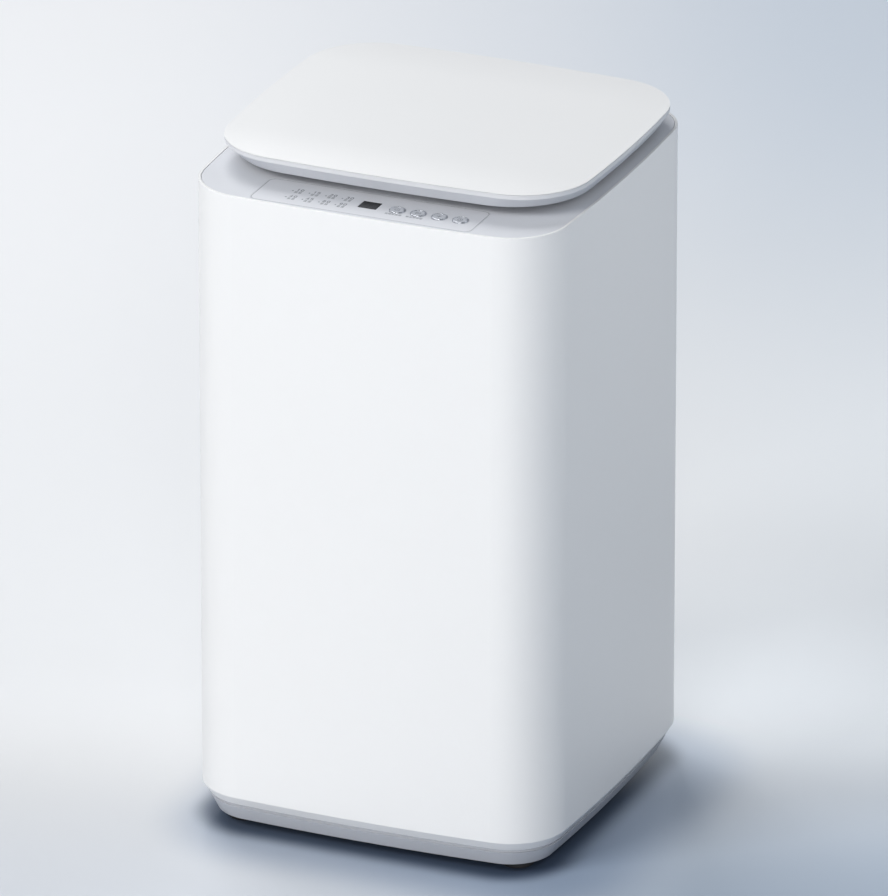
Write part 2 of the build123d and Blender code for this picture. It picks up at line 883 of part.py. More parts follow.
with BuildPart() as motor_housing:
    add(
        turned(
            [
                (motor_shaft_radius + fit_gap, motor_z),
                (motor_radius - motor_bevel, motor_z),
                (motor_radius, motor_z + motor_bevel),
                (motor_radius, plate_z),
                (motor_shaft_radius + motor_bore_wall, plate_z),
                (motor_shaft_radius + motor_bore_wall, motor_z + motor_end),
                (motor_shaft_radius + fit_gap, motor_z + motor_end),
            ],
            motor_axis,
        )
    )
save(motor_housing, "motor_housing")


def groove_section(pitch, bore):
    """A grooved pulley's section, with the groove's floor just under the belt."""
    cheek_radius = pitch + belt_thickness / 2
    floor_radius = pitch - belt_thickness / 2 - seat_gap
    low = belt_z - seat_gap
    high = belt_z + belt_width + seat_gap
    return [
        (bore, pulley_z),
        (cheek_radius, pulley_z),
        (cheek_radius, low),
        (floor_radius, low),
        (floor_radius, high),
        (cheek_radius, high),
        (cheek_radius, pulley_z + pulley_thickness),
        (bore, pulley_z + pulley_thickness),
    ]


with BuildPart() as motor_shaft:
    with BuildSketch(Plane.XY.offset(pulley_z - motor_shaft_end)):
        with Locations(motor_axis):
            Circle(motor_shaft_radius)
    extrude(amount=plate_z - motor_shaft_top - (pulley_z - motor_shaft_end))
save(motor_shaft, "motor_shaft")

with BuildPart() as motor_pulley:
    add(turned(groove_section(motor_pulley_pitch, motor_shaft_radius + fit_gap), motor_axis))
save(motor_pulley, "motor_pulley")

web_radius = drive_pulley_pitch - belt_thickness / 2 - pulley_cheek
with BuildPart() as drive_pulley:
    add(turned(groove_section(drive_pulley_pitch, shaft_radius + fit_gap), tub_axis))
    with BuildSketch(Plane.XY.offset(pulley_z + pulley_thickness - pulley_web_recess)):
        with Locations(tub_axis):
            Circle(web_radius)
            Circle(pulley_hub_radius, mode=Mode.SUBTRACT)
    extrude(amount=pulley_web_recess, mode=Mode.SUBTRACT)
    with BuildSketch(Plane.XY.offset(pulley_z)):
        with Locations(tub_axis):
            with PolarLocations((pulley_hub_radius + web_radius) / 2, pulley_hole_count):
                Circle((web_radius - pulley_hub_radius) / 2 - pulley_hole_wall)
    extrude(amount=pulley_thickness, mode=Mode.SUBTRACT)
save(drive_pulley, "drive_pulley")

with BuildPart() as pulley_nut:
    with BuildSketch(Plane.XY.offset(nut_z)):
        with Locations(tub_axis):
            RegularPolygon(pulley_nut_radius, 6)
            Circle(shaft_radius + fit_gap, mode=Mode.SUBTRACT)
    extrude(amount=pulley_nut_height)
save(pulley_nut, "pulley_nut")


def belt_loop(half_thickness):
    """The outline of a tight belt round both pulleys, on one side of its pitch line."""
    with BuildSketch() as loop:
        with BuildLine():
            CenterArc(tub_axis, drive_pulley_pitch + half_thickness, 0, 360)
            CenterArc(motor_axis, motor_pulley_pitch + half_thickness, 0, 360)
        make_hull()
    return loop.sketch


belt_outside = belt_loop(belt_thickness / 2)
belt_inside = belt_loop(-belt_thickness / 2)
with BuildPart() as drive_belt:
    with BuildSketch(Plane.XY.offset(belt_z)):
        add(belt_outside)
        add(belt_inside, mode=Mode.SUBTRACT)
    extrude(amount=belt_width)
save(drive_belt, "drive_belt")

# Suspension rods, hangers, dampers and springs
with BuildPart() as suspension_rods:
    with BuildSketch(Plane.XY.offset(rod_foot_z - rod_foot_thickness)):
        with Locations(*rod_places):
            Circle(rod_foot_radius)
    extrude(amount=rod_foot_thickness)
    with BuildSketch(Plane.XY.offset(rod_foot_z)):
        with Locations(*rod_places):
            Circle(rod_radius)
    extrude(amount=rod_head_z - rod_foot_z)
    with BuildSketch(Plane.XY.offset(rod_head_z)):
        with Locations(*rod_places):
            Circle(rod_head_radius)
    extrude(amount=rod_head_height)
save(suspension_rods, "suspension_rods")

with BuildPart() as hanger_cups:
    with BuildSketch(Plane.XY.offset(deck_under_z - hanger_height)):
        with Locations(*rod_places):
            Circle(hanger_radius)
    extrude(amount=hanger_height)
    with BuildSketch(Plane.XY.offset(deck_under_z - hanger_height)):
        with Locations(*rod_places):
            Circle(rod_radius + seat_gap)
    extrude(amount=hanger_height, mode=Mode.SUBTRACT)
    with BuildSketch(Plane.XY.offset(rod_head_z)):
        with Locations(*rod_places):
            Circle(rod_head_radius + seat_gap)
    extrude(amount=rod_head_drop, mode=Mode.SUBTRACT)
save(hanger_cups, "hanger_cups")

with BuildPart() as suspension_dampers:
    with BuildSketch(Plane.XY.offset(ear_z - damper_height)):
        with Locations(*rod_places):
            Circle(damper_radius)
    extrude(amount=damper_height)
    with BuildSketch(Plane.XY.offset(ear_z - damper_height)):
        with Locations(*rod_places):
            Circle(damper_radius - damper_wall)
    extrude(amount=damper_height - damper_wall, mode=Mode.SUBTRACT)
    with BuildSketch(Plane.XY.offset(ear_z - damper_wall)):
        with Locations(*rod_places):
            Circle(rod_radius + seat_gap)
    extrude(amount=damper_wall, mode=Mode.SUBTRACT)
save(suspension_dampers, "suspension_dampers")

coil_height = spring_length - 2 * spring_wire - 2 * seat_gap
with BuildPart() as suspension_springs:
    with BuildLine(Plane.XY.offset(rod_foot_z + spring_wire + seat_gap)):
        coil = Helix(coil_height / spring_turns, coil_height, spring_radius)
    with BuildSketch(Plane(origin=coil @ 0, z_dir=coil % 0)):
        Circle(spring_wire)
    sweep(path=coil, is_frenet=True)
spring_solid = suspension_springs.part
with BuildPart() as suspension_springs:
    with Locations(*[(x, y, 0) for x, y in rod_places]):
        add(spring_solid)
save(suspension_springs, "suspension_springs")

# Spin basket, its balance ring, its hub on the spin tube, and the lint filter
hole_reach = basket_radius - 4 * basket_wall
with BuildPart() as wash_basket:
    with BuildSketch(Plane.XY.offset(basket_z)):
        with Locations(tub_axis):
            Circle(basket_radius)
    extrude(amount=basket_top_z - basket_z)
    with BuildSketch(Plane.XY.offset(basket_z + basket_floor)):
        with Locations(tub_axis):
            Circle(basket_radius - basket_wall)
    extrude(amount=basket_top_z - basket_z, mode=Mode.SUBTRACT)
    with BuildSketch(Plane.XY.offset(basket_z)):
        with Locations(tub_axis):
            Circle(spin_tube_radius + fit_gap)
            with PolarLocations(basket_radius * basket_drain_share, basket_drain_count):
                Circle(basket_drain_radius)
    extrude(amount=basket_floor, mode=Mode.SUBTRACT)
    hole_base_z = (basket_z + basket_top_z) / 2 - (basket_hole_rows - 1) * basket_hole_pitch / 2
    for row in range(basket_hole_rows):
        for column in range(basket_hole_columns):
            angle = math.radians((column + 0.5 * (row % 2)) * 360 / basket_hole_columns)
            with BuildSketch(
                Plane(
                    origin=(
                        hole_reach * math.cos(angle),
                        tub_offset + hole_reach * math.sin(angle),
                        hole_base_z + row * basket_hole_pitch,
                    ),
                    z_dir=(math.cos(angle), math.sin(angle), 0),
                )
            ):
                Circle(basket_hole_radius)
    extrude(amount=2 * (basket_radius - hole_reach), mode=Mode.SUBTRACT)
save(wash_basket, "wash_basket")

ring_outer_radius = basket_radius + balance_ring_lip
ring_seat_radius = basket_radius - basket_wall - seat_gap
ring_top_z = basket_top_z + balance_ring_height
ring_bevel = balance_ring_bevel
ring_inner_radius = basket_radius - balance_ring_width
with BuildPart() as balance_ring:
    add(
        turned(
            [
                (ring_inner_radius, basket_top_z - basket_skirt),
                (ring_seat_radius, basket_top_z - basket_skirt),
                (ring_seat_radius, basket_top_z),
                (ring_outer_radius, basket_top_z),
                (ring_outer_radius, ring_top_z - ring_bevel),
                (ring_outer_radius - ring_bevel, ring_top_z),
                (ring_inner_radius + ring_bevel, ring_top_z),
                (ring_inner_radius, ring_top_z - ring_bevel),
            ],
            tub_axis,
        )
    )
save(balance_ring, "balance_ring")

spin_tube_z = clutch_z - spin_tube_end
spin_tube_length = basket_z + basket_floor + hub_end - spin_tube_z
with BuildPart() as spin_hub:
    with BuildSketch(Plane.XY.offset(spin_tube_z)):
        with Locations(tub_axis):
            Circle(spin_tube_radius)
    extrude(amount=spin_tube_length)
    with BuildSketch(Plane.XY.offset(hub_z)):
        with Locations(tub_axis):
            Circle(spin_tube_radius + hub_boss_wall)
            with PolarLocations(hub_arm_length / 2, hub_arm_count, start_angle=90):
                Rectangle(hub_arm_length, hub_arm_width)
            with PolarLocations(hub_arm_length, hub_arm_count, start_angle=90):
                Circle(hub_pad_radius)
    extrude(amount=hub_thickness)
    with BuildSketch(Plane.XY.offset(spin_tube_z)):
        with Locations(tub_axis):
            Circle(shaft_radius + fit_gap)
    extrude(amount=spin_tube_length, mode=Mode.SUBTRACT)
save(spin_hub, "spin_hub")

with BuildPart() as lint_filter:
    with BuildSketch(Plane.XY.offset(basket_top_z - filter_drop - filter_height)):
        with Locations(tub_axis):
            Circle(ring_seat_radius)
            Circle(ring_seat_radius - filter_depth, mode=Mode.SUBTRACT)
        with Locations((0, tub_offset + basket_radius)):
            Rectangle(filter_width, basket_radius, mode=Mode.INTERSECT)
    extrude(amount=filter_height)
    fillet(lint_filter.edges().filter_by(Axis.Z).sort_by(Axis.Y)[:2], filter_round)
save(lint_filter, "lint_filter")

# Pulsator with its vanes, the brush post and the bristle sleeve
pulsator_hub = post_radius + sleeve_wall + pulsator_hub_wall
pulsator_bore = shaft_radius + fit_gap
with BuildPart() as pulsator:
    add(
        turned(
            [
                (pulsator_bore, pulsator_z),
                (pulsator_radius - pulsator_rim_bevel, pulsator_z),
                (pulsator_radius, pulsator_z + pulsator_rim),
                (pulsator_radius - pulsator_rim_bevel / 2, pulsator_z + 1.6 * pulsator_rim),
                (pulsator_hub, pulsator_z + pulsator_thickness),
                (pulsator_bore, pulsator_z + pulsator_thickness),
            ],
            tub_axis,
        )
    )
    with BuildSketch(Plane.XY.offset(pulsator_z + pulsator_rim)):
        with Locations(tub_axis):
            with PolarLocations(pulsator_radius * vane_place, vane_count):
                SlotOverall(pulsator_radius * vane_share, vane_thickness)
    extrude(amount=vane_height, taper=vane_taper)
    fillet(pulsator.edges().group_by(Axis.Z)[-1], vane_round)
save(pulsator, "pulsator")

post_top_z = post_z + post_height
with BuildPart() as brush_post:
    add(
        turned(
            [
                (0, post_z + post_plug),
                (post_radius - post_wall, post_z + post_plug),
                (post_radius - post_wall, post_z),
                (post_radius, post_z),
                (post_radius, post_top_z - post_dome),
                (post_radius - post_dome_step, post_top_z - post_dome_step),
                (post_radius - post_dome, post_top_z),
                (0, post_top_z),
            ],
            tub_axis,
        )
    )
save(brush_post, "brush_post")

sleeve_radius = post_radius + fit_gap + sleeve_wall
sleeve_height = tuft_rings * tuft_pitch
with BuildPart() as brush_bristles:
    with BuildSketch(Plane.XY.offset(post_z)):
        with Locations(tub_axis):
            Circle(sleeve_radius)
    extrude(amount=sleeve_height + tuft_pitch)
    for ring in range(tuft_rings):
        for tuft in range(tufts_per_ring):
            turn = math.radians((tuft + 0.5 * (ring % 2)) * 360 / tufts_per_ring)
            height = post_z + vane_height + (ring + 0.5) * (sleeve_height - tuft_margin) / tuft_rings
            with BuildSketch(
                Plane(
                    origin=(
                        post_radius * math.cos(turn),
                        tub_offset + post_radius * math.sin(turn),
                        height,
                    ),
                    z_dir=(math.cos(turn), math.sin(turn), 0),
                )
            ):
                Circle(tuft_radius)
    extrude(amount=tuft_length + sleeve_wall)
    with BuildSketch(Plane.XY.offset(post_z)):
        with Locations(tub_axis):
            Circle(post_radius + fit_gap)
    extrude(amount=sleeve_height + tuft_pitch, mode=Mode.SUBTRACT)
save(brush_bristles, "brush_bristles")

with BuildPart() as drive_shaft:
    with BuildSketch(Plane.XY.offset(nut_z - shaft_end)):
        with Locations(tub_axis):
            Circle(shaft_radius)
    extrude(amount=post_z + shaft_tip - (nut_z - shaft_end))
save(drive_shaft, "drive_shaft")

# Drain pump on the base, its bellows from the tub and its hose to the rear
pump_z = base_floor_z + pump_foot_height
pump_top_z = pump_z + pump_height
pump_inlet_z = pump_top_z + pump_inlet_height
port_z = pump_z + pump_height / 2
port_length = pump_radius + pump_port_length
pump_shaft_z = pump_z - pump_shaft_depth
with BuildPart() as pump_housing:
    with BuildSketch(Plane.XY.offset(pump_z)):
        with Locations(drain_place):
            Circle(pump_radius)
    extrude(amount=pump_height)
    with BuildSketch(Plane.XY.offset(pump_top_z)):
        with Locations(drain_place):
            Circle(pump_inlet_radius)
    extrude(amount=pump_inlet_height)
    with BuildSketch(Plane.XZ.offset(-pump_y)):
        with Locations((pump_x, port_z)):
            Circle(pump_port_radius)
    extrude(amount=-port_length)
    with BuildSketch(Plane.XY.offset(pump_z + pump_wall)):
        with Locations(drain_place):
            Circle(pump_radius - pump_wall)
    extrude(amount=pump_height - 2 * pump_wall, mode=Mode.SUBTRACT)
    with BuildSketch(Plane.XY.offset(pump_top_z - pump_wall)):
        with Locations(drain_place):
            Circle(pump_inlet_radius - pump_wall)
    extrude(amount=pump_inlet_height + pump_wall, mode=Mode.SUBTRACT)
    with BuildSketch(Plane.XZ.offset(-pump_y - pump_radius / 2)):
        with Locations((pump_x, port_z)):
            Circle(pump_port_radius - pump_wall)
    extrude(amount=-(port_length - pump_radius / 2), mode=Mode.SUBTRACT)
    with BuildSketch(Plane.XY.offset(pump_z)):
        with Locations(drain_place):
            Circle(pump_shaft_radius + pump_shaft_slack)
    extrude(amount=pump_wall, mode=Mode.SUBTRACT)
save(pump_housing, "pump_housing")

with BuildPart() as pump_motor:
    with BuildSketch(Plane.XY.offset(base_floor_z)):
        with Locations(drain_place):
            Circle(pump_motor_radius)
    extrude(amount=pump_foot_height)
    with BuildSketch(Plane.XY.offset(pump_shaft_z - 1)):
        with Locations(drain_place):
            Circle(pump_shaft_radius + fit_gap)
    extrude(amount=pump_shaft_depth + 1, mode=Mode.SUBTRACT)
save(pump_motor, "pump_motor")

impeller_z = pump_z + pump_wall + impeller_lift
with BuildPart() as pump_impeller:
    with BuildSketch(Plane.XY.offset(impeller_z)):
        with Locations(drain_place):
            Circle(impeller_radius)
    extrude(amount=impeller_plate)
    with BuildSketch(Plane.XY.offset(impeller_z + impeller_plate)):
        with Locations(drain_place):
            Circle(impeller_hub)
            with PolarLocations(impeller_radius / 2, impeller_vanes):
                Rectangle(impeller_radius - impeller_plate, impeller_vane)
    extrude(amount=impeller_height - impeller_plate)
    with BuildSketch(Plane.XY.offset(pump_shaft_z)):
        with Locations(drain_place):
            Circle(pump_shaft_radius)
    extrude(amount=impeller_z - pump_shaft_z)
save(pump_impeller, "pump_impeller")

bellows_inner = pump_inlet_radius + seat_gap
bellows_outer = bellows_inner + bellows_wall
port_end_z = tub_z - drain_port_length
bellows_low = pump_inlet_z - bellows_lap_low
bellows_high = port_end_z + bellows_lap_high
rib_low = pump_inlet_z + bellows_plain
rib_high = port_end_z - bellows_plain
rib_step = (rib_high - rib_low) / bellows_ribs
bellows_points = [(bellows_inner, bellows_low), (bellows_outer, bellows_low)]
for rib in range(bellows_ribs):
    bellows_points.append((bellows_outer, rib_low + rib * rib_step))
    bellows_points.append((bellows_outer + bellows_rib_height, rib_low + (rib + 0.5) * rib_step))
bellows_points.append((bellows_outer, rib_high))
bellows_points.append((bellows_outer, bellows_high))
bellows_points.append((bellows_inner, bellows_high))
bellows_points.append((bellows_inner, rib_high))
for rib in reversed(range(bellows_ribs)):
    bellows_points.append((bellows_inner + bellows_rib_inside, rib_low + (rib + 0.5) * rib_step))
    bellows_points.append((bellows_inner, rib_low + rib * rib_step))
with BuildPart() as drain_bellows:
    add(turned(bellows_points, drain_place))
save(drain_bellows, "drain_bellows")


def recess_tray(x, z, width, height, holes):
    """A box let into the rear wall, open to the rear, with round holes in its floor."""
    with BuildPart() as tray:
        with BuildSketch(Plane.XY.offset(z - height / 2)):
            with Locations((x, recess_back_y + recess_depth / 2)):
                Rectangle(width, recess_depth)
        extrude(amount=height)
        with BuildSketch(Plane.XY.offset(z - height / 2)):
            add(cabinet_plan(seat_gap))
        extrude(amount=height, mode=Mode.INTERSECT)
        with BuildSketch(Plane.XY.offset(z - height / 2 + recess_wall)):
            with Locations((x, recess_back_y + recess_wall + recess_depth / 2)):
                Rectangle(width - 2 * recess_wall, recess_depth)
        extrude(amount=height - 2 * recess_wall, mode=Mode.SUBTRACT)
        for hole_x, hole_radius in holes:
            with BuildSketch(Plane.XZ.offset(-recess_back_y)):
                with Locations((hole_x, z)):
                    Circle(hole_radius)
            extrude(amount=-recess_wall, mode=Mode.SUBTRACT)
    return tray


inlet_recess = recess_tray(
    inlet_x,
    inlet_z,
    inlet_recess_width,
    inlet_recess_height,
    [(inlet_x, inlet_thread_radius + spigot_collar + seat_gap)],
)
save(inlet_recess, "inlet_recess")

spigot_x = drain_recess_x + drain_spigot_shift
gland_x = drain_recess_x + gland_shift
drain_recess = recess_tray(
    drain_recess_x,
    drain_recess_z,
    drain_recess_width,
    drain_recess_height,
    [
        (spigot_x, drain_spigot_radius + spigot_collar + seat_gap),
        (gland_x, gland_radius + seat_gap),
    ],
)
save(drain_recess, "drain_recess")

# Water inlet valve with its threaded spigot, and the hose to the mouth's neck
recess_floor_y = recess_back_y + recess_wall
spigot_tip_y = recess_floor_y + spigot_length
valve_back_y = recess_back_y - flange_plate
hose_corner_y = tub_offset - inlet_x
valve_end_y = hose_corner_y + valve_tail
with BuildPart() as water_inlet_valve:
    with BuildSketch(Plane.XZ.offset(-valve_back_y)):
        with Locations((inlet_x, inlet_z)):
            Rectangle(valve_flange_width, valve_flange_height)
    extrude(amount=-flange_plate)
    with BuildSketch(Plane.XZ.offset(-recess_back_y)):
        with Locations((inlet_x, inlet_z)):
            Circle(inlet_thread_radius + spigot_collar)
    extrude(amount=-recess_wall)
    with BuildSketch(Plane.XZ.offset(-recess_floor_y)):
        with Locations((inlet_x, inlet_z)):
            Circle(inlet_thread_radius)
    extrude(amount=-spigot_length)
    with BuildSketch(Plane.XZ.offset(-valve_end_y)):
        with Locations((inlet_x, inlet_z)):
            Circle(valve_radius)
    extrude(amount=-(valve_back_y - valve_end_y))
    with BuildSketch(Plane.YZ.offset(inlet_x - valve_radius - valve_coil_shift)):
        with Locations((valve_back_y - valve_coil / 2 - flange_plate, inlet_z)):
            RectangleRounded(valve_coil, valve_coil, valve_coil_round)
    extrude(amount=valve_coil)
    with BuildSketch(Plane.XZ.offset(-spigot_tip_y)):
        with Locations((inlet_x, inlet_z)):
            Circle(inlet_bore_radius)
    extrude(amount=spigot_length + valve_bore_depth, mode=Mode.SUBTRACT)
save(water_inlet_valve, "water_inlet_valve")

port_x = port_reach * math.cos(port_turn)
port_y = tub_offset + port_reach * math.sin(port_turn)
with BuildPart() as fill_hose:
    with BuildLine():
        route = FilletPolyline(
            (inlet_x, valve_end_y, inlet_z),
            (inlet_x, hose_corner_y, inlet_z),
            (port_x, port_y, inlet_z),
            radius=fill_bend,
        )
    with BuildSketch(Plane(origin=route @ 0, z_dir=route % 0)):
        Circle(service_hose_radius)
        Circle(service_hose_radius - service_hose_wall, mode=Mode.SUBTRACT)
    sweep(path=route)
save(fill_hose, "fill_hose")

# Drain outlet spigot, its hose from the pump, and the gland for the supply cord
with BuildPart() as drain_outlet:
    with BuildSketch(Plane.XZ.offset(-valve_back_y)):
        with Locations((spigot_x, drain_recess_z)):
            Circle(drain_spigot_radius + outlet_flange)
    extrude(amount=-flange_plate)
    with BuildSketch(Plane.XZ.offset(-recess_back_y)):
        with Locations((spigot_x, drain_recess_z)):
            Circle(drain_spigot_radius + spigot_collar)
    extrude(amount=-recess_wall)
    with BuildSketch(Plane.XZ.offset(-recess_floor_y)):
        with Locations((spigot_x, drain_recess_z)):
            Circle(drain_spigot_radius)
    extrude(amount=-spigot_length)
    with BuildSketch(Plane.XZ.offset(-spigot_tip_y)):
        with Locations((spigot_x, drain_recess_z)):
            Circle(drain_spigot_radius - outlet_wall)
    extrude(amount=spigot_tip_y - valve_back_y, mode=Mode.SUBTRACT)
save(drain_outlet, "drain_outlet")

hose_start_y = pump_y + port_length
with BuildPart() as drain_hose:
    with BuildLine():
        drain_route = FilletPolyline(
            (pump_x, hose_start_y, port_z),
            (pump_x, hose_start_y + drain_hose_front, port_z),
            (spigot_x, valve_back_y - drain_hose_rear, drain_recess_z),
            (spigot_x, valve_back_y, drain_recess_z),
            radius=drain_hose_bend,
        )
    with BuildSketch(Plane(origin=drain_route @ 0, z_dir=drain_route % 0)):
        Circle(pump_port_radius)
        Circle(pump_port_radius - outlet_wall, mode=Mode.SUBTRACT)
    sweep(path=drain_route)
save(drain_hose, "drain_hose")

with BuildPart() as cord_gland:
    with BuildSketch(Plane.XZ.offset(-valve_back_y)):
        with Locations((gland_x, drain_recess_z)):
            Circle(gland_radius + gland_flange)
    extrude(amount=-flange_plate)
    with BuildSketch(Plane.XZ.offset(-recess_back_y)):
        with Locations((gland_x, drain_recess_z)):
            Circle(gland_radius)
    extrude(amount=-(spigot_tip_y - gland_short - recess_back_y))
    with BuildSketch(Plane.XZ.offset(-spigot_tip_y)):
        with Locations((gland_x, drain_recess_z)):
            Circle(gland_bore_radius)
    extrude(amount=spigot_tip_y - valve_back_y, mode=Mode.SUBTRACT)
save(cord_gland, "cord_gland")


def rear_patch(outer_inset, inner_inset, width, height, radius):
    """A piece of the rear wall between two insets, cut to a rounded window."""
    with BuildPart() as patch:
        with BuildSketch(Plane.XY.offset(rear_cover_z - height / 2)):
            add(cabinet_plan(outer_inset))
            add(cabinet_plan(inner_inset), mode=Mode.SUBTRACT)
        extrude(amount=height)
        with BuildSketch(Plane.XZ.offset(-cabinet_depth / 2)):
            with Locations((0, rear_cover_z)):
                RectangleRounded(width, height, radius)
        extrude(amount=cabinet_depth / 4, mode=Mode.INTERSECT)
    return patch.part


# Rear service cover, flush in its opening, which laps the opening's edge on the inside
cover_back_inset = wall + fit_gap + rear_cover_plate
cover_face = rear_patch(
    0,
    cover_back_inset,
    rear_cover_width - 2 * panel_gap,
    rear_cover_height - 2 * panel_gap,
    rear_cover_radius,
)
cover_lap = rear_patch(
    wall + fit_gap,
    cover_back_inset,
    rear_cover_width + 2 * rear_cover_lap,
    rear_cover_height + 2 * rear_cover_lap,
    rear_cover_radius,
)
vent_z = rear_cover_z - (vent_rows - 1) * vent_pitch / 2
with BuildPart() as rear_cover:
    add(cover_face)
    add(cover_lap)
    with BuildSketch(Plane.XZ.offset(-cabinet_depth / 2)):
        with Locations((0, rear_cover_z)):
            with GridLocations(vent_length + vent_column_gap, vent_pitch, 2, vent_rows):
                SlotOverall(vent_length, vent_height)
        with Locations(*cover_screw_places):
            Circle(screw_radius + fit_gap)
    extrude(amount=cabinet_depth / 4, mode=Mode.SUBTRACT)
save(rear_cover, "rear_cover")

screw_face_y = cabinet_depth / 2 - bow_drop(cover_screw_x, cabinet_width / 2, side_bow)
with BuildPart() as case_screws:
    with BuildSketch(Plane.XY.offset(foot_screw_z)):
        with Locations(*foot_places):
            Circle(screw_head_radius)
    extrude(amount=screw_head_height)
    with BuildSketch(Plane.XY.offset(foot_screw_z)):
        with Locations(*foot_places):
            Circle(screw_radius)
    extrude(amount=base_floor_z + foot_screw_end - foot_screw_z)
    with BuildSketch(Plane.XZ.offset(-(screw_face_y - screw_sink))):
        with Locations(*cover_screw_places):
            Circle(screw_head_radius)
    extrude(amount=screw_head_height)
    with BuildSketch(Plane.XZ.offset(-(screw_face_y - screw_sink))):
        with Locations(*cover_screw_places):
            Circle(screw_radius)
    extrude(amount=screw_head_height + screw_length)
    with BuildSketch(Plane.XZ.offset(-(screw_face_y - screw_sink))):
        for place in cover_screw_places:
            with Locations(place):
                Rectangle(screw_head_radius * screw_slot_share, screw_slot)
                Rectangle(screw_slot, screw_head_radius * screw_slot_share)
    extrude(amount=screw_slot_depth, mode=Mode.SUBTRACT)
save(case_screws, "case_screws")

# Power board in its case on the left wall, and the level sensor on the right wall
case_x = -(cabinet_width / 2 - wall - bow_drop(case_width / 2, cabinet_depth / 2, side_bow))
case_x += seat_gap
case_inner_width = case_width - 2 * case_wall
case_inner_height = case_height - 2 * case_wall
with BuildPart() as power_board_case:
    with BuildSketch(Plane.YZ.offset(case_x)):
        with Locations((case_y, case_z)):
            RectangleRounded(case_width, case_height, case_round)
    extrude(amount=case_depth)
    with BuildSketch(Plane.YZ.offset(case_x)):
        with Locations((case_y, case_z)):
            RectangleRounded(case_inner_width, case_inner_height, case_round - case_wall)
    extrude(amount=case_depth - case_wall, mode=Mode.SUBTRACT)
save(power_board_case, "power_board_case")

board_face_x = case_x + case_depth - case_wall
with BuildPart() as power_board:
    with BuildSketch(Plane.YZ.offset(board_face_x)):
        with Locations((case_y, case_z)):
            Rectangle(case_inner_width - 2 * board_edge, case_inner_height - 2 * board_edge)
    extrude(amount=-board_thickness)
    with BuildSketch(Plane.YZ.offset(board_face_x - board_thickness)):
        with Locations((case_y - case_width / 5, case_z + case_height / 5)):
            Rectangle(case_width * 0.28, case_height * 0.26)
        with Locations((case_y + case_width / 4, case_z + case_height / 4)):
            Circle(case_width * 0.09)
        with Locations((case_y + case_width / 12, case_z - case_height / 4)):
            Rectangle(case_width / 2, case_height * 0.18)
    extrude(amount=-(case_depth - case_wall - board_thickness - part_clearance))
save(power_board, "power_board")

sensor_wall = bow_drop(sensor_y + sensor_radius, cabinet_depth / 2, side_bow)
sensor_x = cabinet_width / 2 - wall - sensor_wall - seat_gap
with BuildPart() as level_sensor:
    with BuildSketch(Plane.YZ.offset(sensor_x)):
        with Locations((sensor_y, sensor_z)):
            Circle(sensor_radius)
    extrude(amount=-sensor_depth)
    chamfer(level_sensor.edges().group_by(Axis.X)[0], sensor_chamfer)
    with BuildSketch(Plane.XY.offset(sensor_z)):
        with Locations((sensor_x - sensor_depth / 2, sensor_y)):
            Circle(sensor_pipe_radius)
    extrude(amount=-(sensor_radius + sensor_pipe_length))
save(level_sensor, "level_sensor")

with BuildPart() as lid_switch:
    with BuildSketch(Plane.XY.offset(deck_under_z)):
        with Locations(magnet_place):
            Rectangle(switch_case_length, switch_case_width)
    extrude(amount=-switch_case_height)
save(lid_switch, "lid_switch")

# Hinge brackets on the deck
with BuildPart() as hinge_brackets:
    for x in hinge_places:
        with BuildSketch(Plane.YZ.offset(x - hinge_width / 2)):
            with Locations((hinge_y, hinge_z)):
                Circle(hinge_knuckle_radius)
            with Locations(
                (hinge_y + (hinge_web_rear - hinge_knuckle_radius) / 2, (deck_z + hinge_z) / 2)
            ):
                Rectangle(hinge_web_rear + hinge_knuckle_radius, hinge_z - deck_z)
            with Locations((hinge_y - hinge_foot / 2, deck_z + hinge_foot_thickness / 2)):
                Rectangle(hinge_foot, hinge_foot_thickness)
            with Locations((hinge_y, hinge_z)):
                Circle(hinge_pin_radius + fit_gap, mode=Mode.SUBTRACT)
        extrude(amount=hinge_width)
save(hinge_brackets, "hinge_brackets")

# Lid: a low crowned cover with a fine line round its top panel, a bevelled liner, pins, seal and magnet
lid_outline = lid_plan()
with BuildPart() as lid_cover:
    with BuildSketch(Plane((0, lid_y, lid_seam_z))):
        add(lid_outline)
    extrude(amount=lid_band - lid_line)
    with BuildSketch(Plane((0, lid_y, lid_crease_z - lid_line))):
        add(lid_plan(lid_line_depth))
    extrude(amount=lid_line)
    for inset, rise in crown_steps:
        with BuildSketch(Plane((0, lid_y, lid_crease_z + rise))):
            add(lid_plan(inset))
    loft()
    with BuildSketch(Plane((0, lid_y, lid_seam_z))):
        add(lid_plan(lid_skin))
    extrude(amount=lid_band - lid_overlap, mode=Mode.SUBTRACT)
    with BuildSketch(Plane((0, lid_y, lid_seam_z))):
        add(lid_plan(crown_steps[-1][0]))
    extrude(amount=lid_band + lid_crown - lid_skin, mode=Mode.SUBTRACT)
save(lid_cover, "lid_cover")

